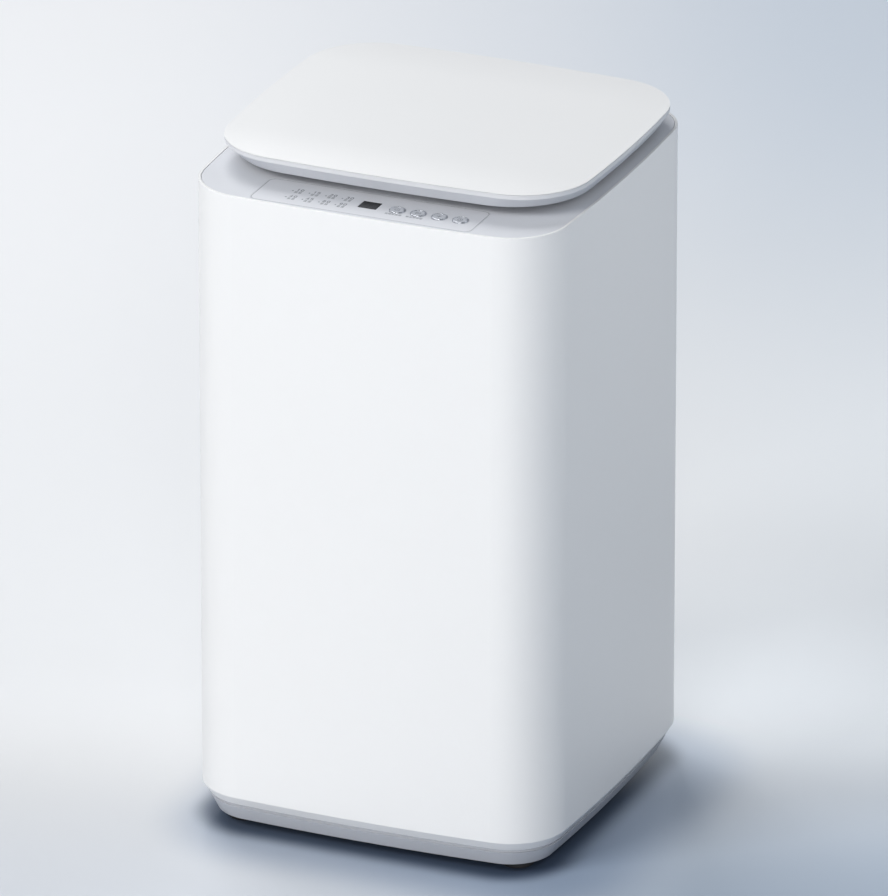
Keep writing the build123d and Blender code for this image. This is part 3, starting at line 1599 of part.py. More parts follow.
bevel_angle = math.atan(lid_bevel_width / lid_bevel_height)
hollow_inset = lid_skin / math.cos(bevel_angle)
hollow_share = 1 - lid_skin / lid_bevel_height
pocket_x = hinge_width / 2 + hinge_side_gap
pocket_front_y = hinge_y - hinge_knuckle_radius - hinge_pocket_gap
pocket_depth = lid_rear_y - pocket_front_y + lid_skin
lug_front_y = pocket_front_y - lid_skin
pin_bore_x = pocket_x + hinge_lug - hinge_lug_blind
with BuildPart() as liner_hollow:
    with BuildSketch(Plane((0, lid_y, lid_under_z + lid_skin))):
        add(lid_plan(hollow_inset + lid_bevel_width * hollow_share, lid_bevel_round * hollow_share))
    with BuildSketch(Plane((0, lid_y, lid_seam_z))):
        add(lid_plan(hollow_inset))
    loft(ruled=True)
    for x in hinge_places:
        with BuildSketch(Plane.XY.offset(lid_under_z)):
            with Locations((x, (lug_front_y + lid_rear_y) / 2)):
                Rectangle(2 * (pocket_x + hinge_lug), lid_rear_y - lug_front_y)
        extrude(amount=lid_bevel_height, mode=Mode.SUBTRACT)
with BuildPart() as lid_liner:
    with BuildSketch(Plane((0, lid_y, lid_under_z))):
        add(lid_plan(lid_bevel_width, lid_bevel_round))
    with BuildSketch(Plane((0, lid_y, lid_seam_z))):
        add(lid_outline)
    loft(ruled=True)
    add(liner_hollow.part, mode=Mode.SUBTRACT)
    for x in hinge_places:
        with BuildSketch(Plane.XY.offset(lid_under_z)):
            with Locations((x, pocket_front_y + pocket_depth / 2)):
                Rectangle(2 * pocket_x, pocket_depth)
        extrude(amount=lid_bevel_height, mode=Mode.SUBTRACT)
        with BuildSketch(Plane.YZ.offset(x - pin_bore_x)):
            with Locations((hinge_y, hinge_z)):
                Circle(hinge_pin_radius + fit_gap)
        extrude(amount=2 * pin_bore_x, mode=Mode.SUBTRACT)
save(lid_liner, "lid_liner")

with BuildPart() as hinge_pins:
    for x in hinge_places:
        with BuildSketch(Plane.YZ.offset(x - pin_bore_x + seat_gap)):
            with Locations((hinge_y, hinge_z)):
                Circle(hinge_pin_radius)
        extrude(amount=2 * (pin_bore_x - seat_gap))
save(hinge_pins, "hinge_pins")

with BuildPart() as lid_seal:
    add(
        turned(
            [
                (lid_seal_radius - lid_seal_width, lid_under_z),
                (lid_seal_radius, lid_under_z),
                (lid_seal_radius - lid_seal_outer_taper, deck_z + seat_gap),
                (lid_seal_radius - lid_seal_width + lid_seal_inner_taper, deck_z + seat_gap),
            ],
            tub_axis,
        )
    )
save(lid_seal, "lid_seal")

with BuildPart() as lid_magnet:
    with BuildSketch(Plane.XY.offset(lid_under_z + lid_skin)):
        with Locations(magnet_place):
            Rectangle(magnet_length, magnet_size)
    extrude(amount=magnet_height)
save(lid_magnet, "lid_magnet")
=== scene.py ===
import math
import random

import bmesh
import bpy
from mathutils import Matrix, Vector


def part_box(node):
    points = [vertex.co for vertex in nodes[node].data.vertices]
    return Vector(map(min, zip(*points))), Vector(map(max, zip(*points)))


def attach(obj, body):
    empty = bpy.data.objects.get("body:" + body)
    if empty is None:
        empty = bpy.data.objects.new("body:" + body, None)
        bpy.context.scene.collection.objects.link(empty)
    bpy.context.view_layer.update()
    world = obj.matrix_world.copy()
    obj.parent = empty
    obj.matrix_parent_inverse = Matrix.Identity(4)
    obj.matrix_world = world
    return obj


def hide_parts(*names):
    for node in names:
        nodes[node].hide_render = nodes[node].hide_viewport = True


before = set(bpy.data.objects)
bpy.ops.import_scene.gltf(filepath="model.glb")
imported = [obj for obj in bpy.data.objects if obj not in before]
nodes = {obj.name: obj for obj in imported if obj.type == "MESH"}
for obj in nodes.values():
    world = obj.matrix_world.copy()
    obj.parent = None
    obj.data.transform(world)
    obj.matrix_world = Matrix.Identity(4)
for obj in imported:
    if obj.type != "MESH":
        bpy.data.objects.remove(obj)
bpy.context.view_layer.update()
scene = bpy.context.scene
MM = 0.001


# Materials. A source is a node with the name or number of its output.

MIX_FACTOR = 0
MIX_FIRST = 6
MIX_SECOND = 7
MIX_OUTPUT = 2
WHITE_TONE = (1, 1, 1)
NO_LIGHT = (0, 0, 0)
DUST_GREY = (0.55, 0.54, 0.52)
STAIN_BROWN = (0.2, 0.17, 0.14)


class Tree:
    """A material's shader nodes, with helpers that add and join them."""

    def __init__(self, name):
        self.material = bpy.data.materials.new(name)
        self.material.use_nodes = True
        self.tree = self.material.node_tree
        self.tree.nodes.clear()
        self.shader = self.add("ShaderNodeBsdfPrincipled")
        self.add("ShaderNodeOutputMaterial", {"Surface": (self.shader, "BSDF")})
        coordinates = self.add("ShaderNodeTexCoord")
        self.place = (coordinates, "Object")
        self.normal = (coordinates, "Normal")

    def feed(self, value, node, socket):
        """Joins a source to a socket, or sets a number, a vector or a colour there."""
        entry = node.inputs[socket]
        if isinstance(value, tuple) and len(value) == 2:
            self.tree.links.new(value[0].outputs[value[1]], entry)
        else:
            entry.default_value = (*value, 1) if entry.type == "RGBA" else value

    def add(self, kind, feeds=(), **settings):
        node = self.tree.nodes.new(kind)
        for key, value in settings.items():
            setattr(node, key, value)
        for socket, value in dict(feeds).items():
            self.feed(value, node, socket)
        return node

    def finish(self, **feeds):
        """Feeds the shader's own sockets: an underscore stands for a space in their names."""
        for socket, value in feeds.items():
            self.feed(value, self.shader, socket.replace("_", " "))
        return self.material

    def noise(self, scale, detail=3.0, rough=0.5, stretch=(1, 1, 1)):
        """Noise in object coordinates, with a scale for each axis."""
        mapping = self.add("ShaderNodeMapping", {"Vector": self.place, "Scale": stretch})
        return self.add("ShaderNodeTexNoise", {
            "Vector": (mapping, "Vector"), "Scale": scale, "Detail": detail, "Roughness": rough,
        }), "Fac"

    def ramp(self, source, low, high, a=0.0, b=1.0, interpolation="LINEAR"):
        """Takes a number that runs from low to high to one that runs from a to b."""
        return self.add("ShaderNodeMapRange", {
            "Value": source, "From Min": low, "From Max": high, "To Min": a, "To Max": b,
        }, interpolation_type=interpolation), "Result"

    def soft(self, source, low, high, a=0.0, b=1.0):
        return self.ramp(source, low, high, a, b, "SMOOTHSTEP")

    def maths(self, operation, first, second=0.0):
        return self.add("ShaderNodeMath", {0: first, 1: second}, operation=operation), "Value"

    def mix(self, factor, first, second, blend="MIX"):
        """Mixes two colours, each written out or from a source."""
        feeds = {MIX_FACTOR: factor, MIX_FIRST: first, MIX_SECOND: second}
        return self.add("ShaderNodeMix", feeds, data_type="RGBA", blend_type=blend), MIX_OUTPUT

    def split(self, source):
        return self.add("ShaderNodeSeparateXYZ", {"Vector": source})

    def bump(self, source, distance):
        feeds = {"Height": source, "Distance": distance, "Strength": 1.0}
        return self.add("ShaderNodeBump", feeds), "Normal"


def shade(colour, k):
    return tuple(min(1.0, c * k) for c in colour)


def plastic(name, colour, rough=0.4, grain=900.0, grain_depth=0.00001, tone=0.03, patch=6.0,
            specular=0.5, haze=0.05, dust=0.0, under=None, side=None):
    """Moulded plastic: soft tone patches, an eroded or orange-peel surface, uneven gloss.

    Dust greys what faces up. Under and side are painted shade: darker colours given to what faces down
    and sideways.
    """
    t = Tree(name)
    patches = t.noise(patch, 4.0, 0.55)
    fine = t.noise(grain, 4.0, 0.6)
    mottled = t.mix(t.ramp(patches, 0.3, 0.7), shade(colour, 1 - tone), shade(colour, 1 + tone))
    specks = t.mix(t.ramp(fine, 0.35, 0.65), (1 - tone, 1 - tone, 1 - tone), WHITE_TONE)
    base = t.mix(1.0, mottled, specks, "MULTIPLY")
    if dust:
        upward = t.split((t.add("ShaderNodeNewGeometry"), "Normal"))
        film = t.maths("MULTIPLY", t.ramp((upward, "Z"), 0.6, 1.0, 0.0, dust), patches)
        base = t.mix(film, base, DUST_GREY)
    # Painted shade: faces turned down or sideways take the darker under and side colours
    if under:
        base = t.mix(t.ramp((t.split(t.normal), "Z"), -0.9, -0.75, 1.0, 0.0), base, under)
    if side:
        base = t.mix(t.ramp((t.split(t.normal), "Z"), 0.55, 0.85, 1.0, 0.0), base, side)
    gloss = t.noise(patch * 5, 5.0, 0.6)
    return t.finish(
        Base_Color=base,
        Roughness=t.ramp(gloss, 0.3, 0.7, max(0.03, rough - haze), rough + haze),
        Normal=t.bump(fine, grain_depth),
        Specular_IOR_Level=specular,
    )


def metal(name, colour, rough=0.3, grain=(1, 1, 60), scale=220.0, depth=0.000006, tone=0.06,
          stain=0.0, stain_colour=STAIN_BROWN, metallic=1.0):
    """Brushed, ground or drawn metal: stretched scratches, uneven gloss, a little staining."""
    t = Tree(name)
    lines = t.noise(scale, 5.0, 0.65, grain)
    patches = t.noise(9.0, 4.0, 0.6)
    base = t.mix(t.ramp(lines, 0.35, 0.65), shade(colour, 1 - tone), shade(colour, 1 + tone))
    if stain:
        base = t.mix(t.ramp(patches, 0.5, 0.75, 0.0, stain), base, stain_colour)
    scratched = t.ramp(lines, 0.3, 0.7, rough - 0.06, rough + 0.06)
    handled = t.ramp(patches, 0.3, 0.7, -0.04, 0.05)
    return t.finish(
        Base_Color=base,
        Roughness=t.maths("ADD", scratched, handled),
        Normal=t.bump(lines, depth),
        Metallic=metallic,
    )


def rubber(name, colour, rough=0.7, grain=500.0, depth=0.00003, bloom=0.25):
    """Rubber: matt, faintly pebbled, with a grey bloom in patches."""
    t = Tree(name)
    patches = t.noise(22.0, 5.0, 0.6)
    greyed = tuple(c + 0.09 for c in colour)
    return t.finish(
        Base_Color=t.mix(t.ramp(patches, 0.45, 0.75, 0.0, bloom), colour, greyed),
        Roughness=t.ramp(patches, 0.3, 0.7, rough - 0.08, rough + 0.1),
        Normal=t.bump(t.noise(grain, 4.0, 0.6), depth),
        Specular_IOR_Level=0.35,
    )


def board(name, colour=(0.02, 0.10, 0.05), track=(0.05, 0.22, 0.09), pad=(0.55, 0.52, 0.42)):
    """A printed circuit board: solder mask with tracks and pads."""
    t = Tree(name)
    cells = t.add("ShaderNodeTexBrick", {
        "Vector": t.place, "Scale": 70.0, "Mortar Size": 0.03,
        "Color1": colour, "Color2": shade(colour, 1.25), "Mortar": track,
    })
    pads = t.add("ShaderNodeTexVoronoi", {"Vector": t.place, "Scale": 260.0})
    spots = t.ramp((pads, "Distance"), 0.12, 0.18, 1.0, 0.0)
    return t.finish(
        Base_Color=t.mix(spots, (cells, "Color"), pad),
        Roughness=t.ramp(t.noise(300.0), 0.3, 0.7, 0.28, 0.42),
        Normal=t.bump((cells, "Fac"), 0.00004),
    )


CABINET = plastic("cabinet_white", (0.86, 0.863, 0.87), 0.30, 700.0, 0.0000006, 0.004, 1.5,
                  specular=0.5, haze=0.012)
# The lid's side colour is painted shade: faces that do not face up are darker than the top
LID = plastic("lid_white", (0.855, 0.858, 0.865), 0.34, 800.0, 0.0000006, 0.004, 1.5,
              specular=0.45, haze=0.012, side=(0.67, 0.683, 0.715))
# The liner's under colour is painted shade: its downward faces are darker so the gap under the lid reads
# dark
LINER = plastic("liner_grey", (0.62, 0.64, 0.685), 0.42, 1200.0, 0.000003, 0.01, 8.0, haze=0.04,
                under=(0.36, 0.37, 0.40))
DECK = plastic("deck_grey", (0.672, 0.69, 0.735), 0.5, 1500.0, 0.000003, 0.012, 8.0, haze=0.04)
FILM = plastic("panel_film", (0.685, 0.70, 0.745), 0.42, 2200.0, 0.000002, 0.01, 12.0, haze=0.03)
BASE = plastic("base_grey", (0.56, 0.575, 0.615), 0.42, 1200.0, 0.000004, 0.02, 8.0, haze=0.05)
WHITE = plastic("white_plastic", (0.74, 0.75, 0.76), 0.42, 900.0, 0.000008, 0.03, 14.0, dust=0.1)
TUB = plastic("tub_plastic", (0.50, 0.54, 0.58), 0.48, 600.0, 0.00001, 0.06, 7.0, dust=0.25)
BLACK = plastic("black_plastic", (0.028, 0.028, 0.031), 0.45, 1100.0, 0.00001, 0.12, 16.0)
WINDOW = plastic("dark_window", (0.028, 0.029, 0.031), 0.2, 2500.0, 0.0000005, 0.1, 60.0,
                 specular=0.3, haze=0.03)
LAMP = plastic("lamp_clear", (0.30, 0.33, 0.37), 0.22, 1800.0, 0.000002, 0.05, 60.0, haze=0.03)
PULSATOR = plastic("pulsator_plastic", (0.30, 0.42, 0.53), 0.28, 700.0, 0.000004, 0.03, 12.0)
SEAL = rubber("seal_rubber", (0.24, 0.25, 0.27), 0.55)
RUBBER = rubber("black_rubber", (0.022, 0.022, 0.024), 0.75)
HOSE = rubber("hose_rubber", (0.05, 0.05, 0.054), 0.55)
BELT = rubber("belt_rubber", (0.022, 0.022, 0.022), 0.65, 900.0)
BOARD = board("circuit_board")
BASKET = metal("basket_steel", (0.74, 0.745, 0.75), 0.4, (1, 1, 70), 120.0, 0.000004, 0.05, 0.06,
               (0.45, 0.45, 0.46), metallic=0.8)
HUB = metal("hub_aluminium", (0.58, 0.59, 0.60), 0.42, (1, 1, 1), 500.0, 0.00002, 0.08, 0.2,
            (0.34, 0.34, 0.34))
SHAFT = metal("shaft_steel", (0.56, 0.57, 0.58), 0.24, (1, 1, 50), 300.0, 0.000004, 0.06, 0.12)
SPRING = metal("spring_steel", (0.20, 0.21, 0.23), 0.32, (1, 1, 8), 400.0, 0.000006, 0.1, 0.3)
MOTOR = plastic("motor_steel", (0.06, 0.063, 0.07), 0.38, 500.0, 0.00001, 0.1, 18.0)
MAGNET = metal("magnet_metal", (0.50, 0.50, 0.50), 0.3, (1, 1, 1), 300.0, 0.000006, 0.08, 0.15)
CHROME = metal("button_chrome", (0.60, 0.62, 0.66), 0.26, (1, 1, 1), 900.0, 0.000002, 0.05)
KEY_FACE = plastic("key_face", (0.53, 0.55, 0.60), 0.3, 1600.0, 0.000002, 0.02, 80.0, haze=0.03)
INK = plastic("panel_ink", (0.20, 0.215, 0.245), 0.5, 2600.0, 0.000001, 0.06, 90.0)
OUTLINE = plastic("outline_ink", (0.36, 0.375, 0.41), 0.5, 2600.0, 0.000001, 0.06, 90.0)
NYLON = plastic("brush_nylon", (0.52, 0.62, 0.72), 0.35, 1500.0, 0.000002, 0.06, 40.0)

FINISH = (
    (CABINET, "cabinet_shell rear_cover"),
    (LID, "lid_cover"),
    (LINER, "lid_liner"),
    (DECK, "top_deck hinge_brackets"),
    (FILM, "control_overlay"),
    (BASE, "base_frame inlet_recess drain_recess"),
    (WINDOW, "display_window"),
    (LAMP, "indicator_lamps"),
    (CHROME, "button_1 button_2 button_3 button_4"),
    (BOARD, "control_board power_board"),
    (WHITE, "control_housing water_inlet_valve drain_outlet pump_housing power_board_case "
            "level_sensor balance_ring lint_filter"),
    (BLACK, "cord_gland pump_motor lid_switch hanger_cups suspension_dampers pump_impeller"),
    (TUB, "outer_tub tub_ring"),
    (PULSATOR, "pulsator brush_post brush_bristles"),
    (RUBBER, "rubber_feet"),
    (SEAL, "lid_seal"),
    (HOSE, "fill_hose drain_hose drain_bellows shaft_seal"),
    (BELT, "drive_belt"),
    (BASKET, "wash_basket"),
    (HUB, "clutch_housing spin_hub drive_pulley"),
    (SHAFT, "case_screws suspension_rods shaft_bearings motor_plate drive_shaft pulley_nut "
            "motor_shaft motor_pulley hinge_pins"),
    (SPRING, "suspension_springs"),
    (MOTOR, "motor_housing"),
    (MAGNET, "lid_magnet"),
)
for material, names in FINISH:
    for node_name in names.split():
        mesh = nodes[node_name].data
        mesh.materials.clear()
        mesh.materials.append(material)


# Pieces in mesh code: points in millimetres, in the frame of the CAD model

class Shape:
    """Points and faces gathered for one piece."""

    def __init__(self):
        self.points = []
        self.faces = []

    def ribbon(self, path, width, low, high, closed=False):
        """A printed or raised line of even width along a path of x, y points."""
        count = len(path)
        first = len(self.points)
        for i, here in enumerate(path):
            before = path[i - 1] if closed or i else here
            after = path[(i + 1) % count] if closed or i < count - 1 else here
            steps = [Vector(b) - Vector(a) for a, b in ((before, here), (here, after)) if a != b]
            steps = [step.normalized() for step in steps]
            along = sum(steps, Vector((0, 0))).normalized()
            side = Vector((-along.y, along.x))
            miter = max(0.5, abs(side.dot(Vector((-steps[0].y, steps[0].x)))))
            reach = side * (width / 2 / miter)
            for sign, z in ((1, low), (1, high), (-1, high), (-1, low)):
                self.points.append((here[0] + sign * reach.x, here[1] + sign * reach.y, z))
        spans = count if closed else count - 1
        for i in range(spans):
            a = first + 4 * i
            b = first + 4 * ((i + 1) % count)
            for k in range(4):
                self.faces.append((a + k, a + (k + 1) % 4, b + (k + 1) % 4, b + k))
        if not closed:
            last = first + 4 * (count - 1)
            self.faces.append((first, first + 1, first + 2, first + 3))
            self.faces.append((last + 3, last + 2, last + 1, last))

    def turn(self, profile, centre, turns):
        """The points of a profile of radius and height at each step about a vertical axis."""
        for i in range(turns):
            angle = 2 * math.pi * i / turns
            for radius, z in profile:
                self.points.append((centre[0] + radius * math.cos(angle),
                                    centre[1] + radius * math.sin(angle), z))

    def lathe(self, profile, centre, turns=64):
        """A ring: a closed profile, turned about a vertical axis."""
        first = len(self.points)
        count = len(profile)
        self.turn(profile, centre, turns)
        for i in range(turns):
            a = first + count * i
            b = first + count * ((i + 1) % turns)
            for k in range(count):
                n = (k + 1) % count
                self.faces.append((a + k, b + k, b + n, a + n))

    def disc(self, profile, centre, turns=64):
        """A solid turned from an open profile that starts and ends on the axis."""
        first = len(self.points)
        count = len(profile) - 2
        self.turn(profile[1:-1], centre, turns)
        start = len(self.points)
        self.points.append((centre[0], centre[1], profile[0][1]))
        self.points.append((centre[0], centre[1], profile[-1][1]))
        for i in range(turns):
            a = first + count * i
            b = first + count * ((i + 1) % turns)
            self.faces.append((start, b, a))
            self.faces.append((start + 1, a + count - 1, b + count - 1))
            for k in range(count - 1):
                self.faces.append((a + k, b + k, b + k + 1, a + k + 1))

    def filament(self, root, tip, radius, bend, steps=3, taper=0.45):
        """A thin three-sided bristle from root to tip, curved by the vector bend."""
        axis = (tip - root).normalized()
        side = axis.orthogonal().normalized()
        other = axis.cross(side)
        first = len(self.points)
        for i in range(steps + 1):
            t = i / steps
            middle = root.lerp(tip, t) + bend * (t * t)
            width = radius * (1 - taper * t)
            for k in range(3):
                angle = 2 * math.pi * k / 3
                p = middle + (side * math.cos(angle) + other * math.sin(angle)) * width
                self.points.append(tuple(p))
        for i in range(steps):
            a = first + 3 * i
            for k in range(3):
                n = (k + 1) % 3
                self.faces.append((a + k, a + n, a + 3 + n, a + 3 + k))
        self.faces.append((first + 2, first + 1, first))
        end = first + 3 * steps
        self.faces.append((end, end + 1, end + 2))

    def collar(self, root, out, across, up, foot, crest, height, turns=12):
        """A small raised ring of plastic where a tuft leaves the sleeve."""
        first = len(self.points)
        for i in range(turns):
            angle = 2 * math.pi * i / turns
            side = across * math.cos(angle) + up * math.sin(angle)
            self.points.append(tuple(root + side * foot))
            self.points.append(tuple(root + side * crest + out * height))
        self.points.append(tuple(root + out * height))
        self.points.append(tuple(root))
        middle = first + 2 * turns
        for i in range(turns):
            a = first + 2 * i
            b = first + 2 * ((i + 1) % turns)
            self.faces.append((a, b, b + 1, a + 1))
            self.faces.append((a + 1, b + 1, middle))
            self.faces.append((b, a, middle + 1))

    def piece(self, name, material, slot, body, smooth=False):
        """Makes the mesh object, which rides on its body."""
        mesh = bpy.data.meshes.new(name)
        mesh.from_pydata([tuple(c * MM for c in p) for p in self.points], [], self.faces)
        mesh.materials.append(material)
        bm = bmesh.new()
        bm.from_mesh(mesh)
        bmesh.ops.recalc_face_normals(bm, faces=bm.faces)
        bm.to_mesh(mesh)
        bm.free()
        for face in mesh.polygons:
            face.use_smooth = smooth
        piece = bpy.data.objects.new(name, mesh)
        scene.collection.objects.link(piece)
        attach(piece, body)
        return piece


def arc(centre, radius, start, stop, steps=10):
    """Points on an arc, angles in degrees."""
    turns = [math.radians(start + (stop - start) * i / steps) for i in range(steps + 1)]
    return [(centre[0] + radius * math.cos(t), centre[1] + radius * math.sin(t)) for t in turns]


def rounded(centre, width, depth, radius):
    """The closed outline of a rectangle with round corners."""
    x = width / 2 - radius
    y = depth / 2 - radius
    outline = []
    for sx, sy, start in ((1, 1, 0), (-1, 1, 90), (-1, -1, 180), (1, -1, 270)):
        outline += arc((centre[0] + sx * x, centre[1] + sy * y), radius, start, start + 90, 8)
    return outline


# Control panel: printed outline, numbers beside the lamps, fine bars below numbers and keys

PANEL = (-4.5, -167.3)
PANEL_WIDTH = 243.0
PANEL_DEPTH = 60.0
OUTLINE_INSET = 0.8
OUTLINE_ROUND = 7.4
OUTLINE_WIDTH = 0.75
PRINT_HALF = 0.05
CONTROL_ROW = -170.2
LAMP_START = -91.9
LAMP_PITCH = 18.2
LAMP_ROW = 9.0
KEY_START = 26.7
KEY_PITCH = 23.0
KEY_RADIUS = 8.3

# Strokes of the digits, in shares of a digit's width and height
DIGITS = {
    "0": [(0.5, 1.0), (0.82, 0.88), (0.92, 0.5), (0.82, 0.12), (0.5, 0.0), (0.18, 0.12), (0.08, 0.5),
          (0.18, 0.88), (0.5, 1.0)],
    "1": [(0.2, 0.78), (0.55, 1.0), (0.55, 0.0)],
    "2": [(0.06, 0.76), (0.2, 0.94), (0.48, 1.0), (0.78, 0.92), (0.86, 0.7), (0.7, 0.46), (0.06, 0.0),
          (0.92, 0.0)],
    "3": [(0.08, 0.88), (0.42, 1.0), (0.8, 0.9), (0.8, 0.64), (0.45, 0.52), (0.86, 0.42), (0.88, 0.14),
          (0.45, 0.0), (0.06, 0.12)],
    "4": [(0.7, 0.0), (0.7, 1.0), (0.04, 0.28), (0.96, 0.28)],
    "5": [(0.84, 1.0), (0.2, 1.0), (0.12, 0.52), (0.5, 0.62), (0.86, 0.5), (0.88, 0.16), (0.5, 0.0),
          (0.08, 0.1)],
    "6": [(0.8, 0.94), (0.4, 0.96), (0.1, 0.6), (0.12, 0.15), (0.5, 0.0), (0.88, 0.14), (0.86, 0.46),
          (0.5, 0.58), (0.14, 0.42)],
    "9": [(0.2, 0.06), (0.6, 0.04), (0.9, 0.4), (0.88, 0.85), (0.5, 1.0), (0.12, 0.86), (0.14, 0.54),
          (0.5, 0.42), (0.86, 0.58)],
}
LABELS = (("10", "15", "20", "30"), ("40", "45", "60", "90"))
LABEL_OFFSET = 3.0
LABEL_RISE = 0.4
DIGIT_WIDTH = 3.1
DIGIT_HEIGHT = 5.0
DIGIT_GAP = 1.4
DIGIT_LIFT = 0.8
DIGIT_LINE = 0.88
FINE_PRINT = 0.62
LABEL_BARS = 4
LABEL_BAR_DROP = 1.4
LABEL_BAR_PITCH = 1.3
KEY_BARS = 3
KEY_BAR_DROP = 9.6
KEY_BAR_PITCH = 1.2
KEY_WORDS = 5
KEY_WORD_START = 8.9
KEY_WORD_PITCH = 3.7
KEY_WORD_WIDTH = 3.0

panel_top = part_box("control_overlay")[1][2] / MM
print_low = panel_top - PRINT_HALF
print_high = panel_top + PRINT_HALF


def panel_border():
    border = Shape()
    edge = rounded(PANEL, PANEL_WIDTH - 2 * OUTLINE_INSET, PANEL_DEPTH - 2 * OUTLINE_INSET, OUTLINE_ROUND)
    border.ribbon(edge, OUTLINE_WIDTH, print_low, print_high, closed=True)
    border.piece("panel_border", OUTLINE, "panel_film", "cabinet")


def fine_bar(notes, left, width, y):
    notes.ribbon([(left, y), (left + width, y)], FINE_PRINT, print_low, print_high)


def panel_print():
    """A plain number and fine bars beside each lamp, and fine bars under the first two keys."""
    numbers = Shape()
    notes = Shape()
    for row, labels in enumerate(LABELS):
        middle = CONTROL_ROW + LAMP_ROW * (1 - 2 * row) + LABEL_RISE
        for column, label in enumerate(labels):
            left = LAMP_START + LAMP_PITCH * column + LABEL_OFFSET
            for place, digit in enumerate(label):
                start = left + place * (DIGIT_WIDTH + DIGIT_GAP)
                foot = middle + DIGIT_LIFT
                path = [(start + x * DIGIT_WIDTH, foot + y * DIGIT_HEIGHT) for x, y in DIGITS[digit]]
                numbers.ribbon(path, DIGIT_LINE, print_low, print_high)
                for bar in range(LABEL_BARS):
                    y = middle - LABEL_BAR_DROP - LABEL_BAR_PITCH * bar
                    fine_bar(notes, start, DIGIT_WIDTH, y)
    numbers.piece("panel_numbers", INK, "panel_film", "cabinet")
    for index in (0, 1):
        for word in range(KEY_WORDS):
            left = KEY_START + KEY_PITCH * index - KEY_WORD_START + word * KEY_WORD_PITCH
            for bar in range(KEY_BARS):
                fine_bar(notes, left, KEY_WORD_WIDTH, CONTROL_ROW - KEY_BAR_DROP - KEY_BAR_PITCH * bar)
    notes.piece("panel_notes", INK, "panel_film", "cabinet")


panel_border()
panel_print()


# Key caps: a raised bright ring, a light dished disc and a plain symbol on each

# The ring's profile in insets from the key's edge, the disc's in radii, both with heights over its top
RING_PROFILE = ((0.05, -0.5), (0.0, -0.1), (0.15, 0.22), (0.45, 0.4), (0.8, 0.4), (1.1, 0.2),
                (1.2, -0.1), (1.2, -0.5))
DISC_PROFILE = ((0, 0.04), (3.5, 0.06), (6.2, 0.14), (6.8, 0.18), (7.0, 0.1), (7.0, -0.3), (0, -0.3))
SYMBOL_LINE = 0.62
SYMBOL_LOW = -0.02
SYMBOL_HIGH = 0.13

# Symbols: on and off, start and pause, more, clock
SYMBOLS = (
    [arc((0, 0), 2.5, 125, 415, 18), [(0, 0.6), (0, 3.1)]],
    [[(-2.4, -2.2), (-2.4, 2.2), (0.9, 0), (-2.4, -2.2)], [(2.3, -2.2), (2.3, 2.2)]],
    [[(-2.6, 0), (2.6, 0)], [(0, -2.6), (0, 2.6)]],
    [arc((0, 0), 2.6, 90, 450, 20), [(0, 1.6), (0, 0), (1.3, -0.6)]],
)


for index, strokes in enumerate(SYMBOLS):
    body = "key_%d" % (index + 1)
    centre = (KEY_START + KEY_PITCH * index, CONTROL_ROW)
    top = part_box("button_%d" % (index + 1))[1][2] / MM
    ring = Shape()
    ring.lathe([(KEY_RADIUS - inset, top + rise) for inset, rise in RING_PROFILE], centre)
    ring.piece("key_ring_%d" % (index + 1), CHROME, "button_chrome", body, smooth=True)
    disc = Shape()
    disc.disc([(radius, top + rise) for radius, rise in DISC_PROFILE], centre)
    disc.piece("key_disc_%d" % (index + 1), KEY_FACE, "button_chrome", body, smooth=True)
    symbol = Shape()
    for path in strokes:
        placed = [(centre[0] + x, centre[1] + y) for x, y in path]
        symbol.ribbon(placed, SYMBOL_LINE, top + SYMBOL_LOW, top + SYMBOL_HIGH)
    symbol.piece("key_symbol_%d" % (index + 1), INK, "panel_film", body)


# Brush: the sleeve with nylon tufts standing out of it

POST_RADIUS = 22.0
POST_CLEARANCE = 0.3
SLEEVE_RADIUS = 24.55
SLEEVE_FOOT = 211.0
SLEEVE_ROUND = ((0.0, 1.0), (0.7, 0.2))
SLEEVE_TURNS = 96
TUB_AXIS = (0.0, 18.0)
TUFT_RINGS = 14
TUFTS_PER_RING = 10
TUFT_FOOT = 22.0
TUFT_SPAN = 225.0
TUFT_LENGTH = 24.0
TUFT_SINK = 0.6
TUFT_SPREAD = 2.05
STRANDS = 15
STRAND_RADIUS = 0.34
STRAND_FLARE = 1.35
GOLDEN_TURN = 2.39996
COLLAR_FOOT = 3.1
COLLAR_CREST = 2.5
COLLAR_HEIGHT = 1.5
BRUSH_SEED = 7


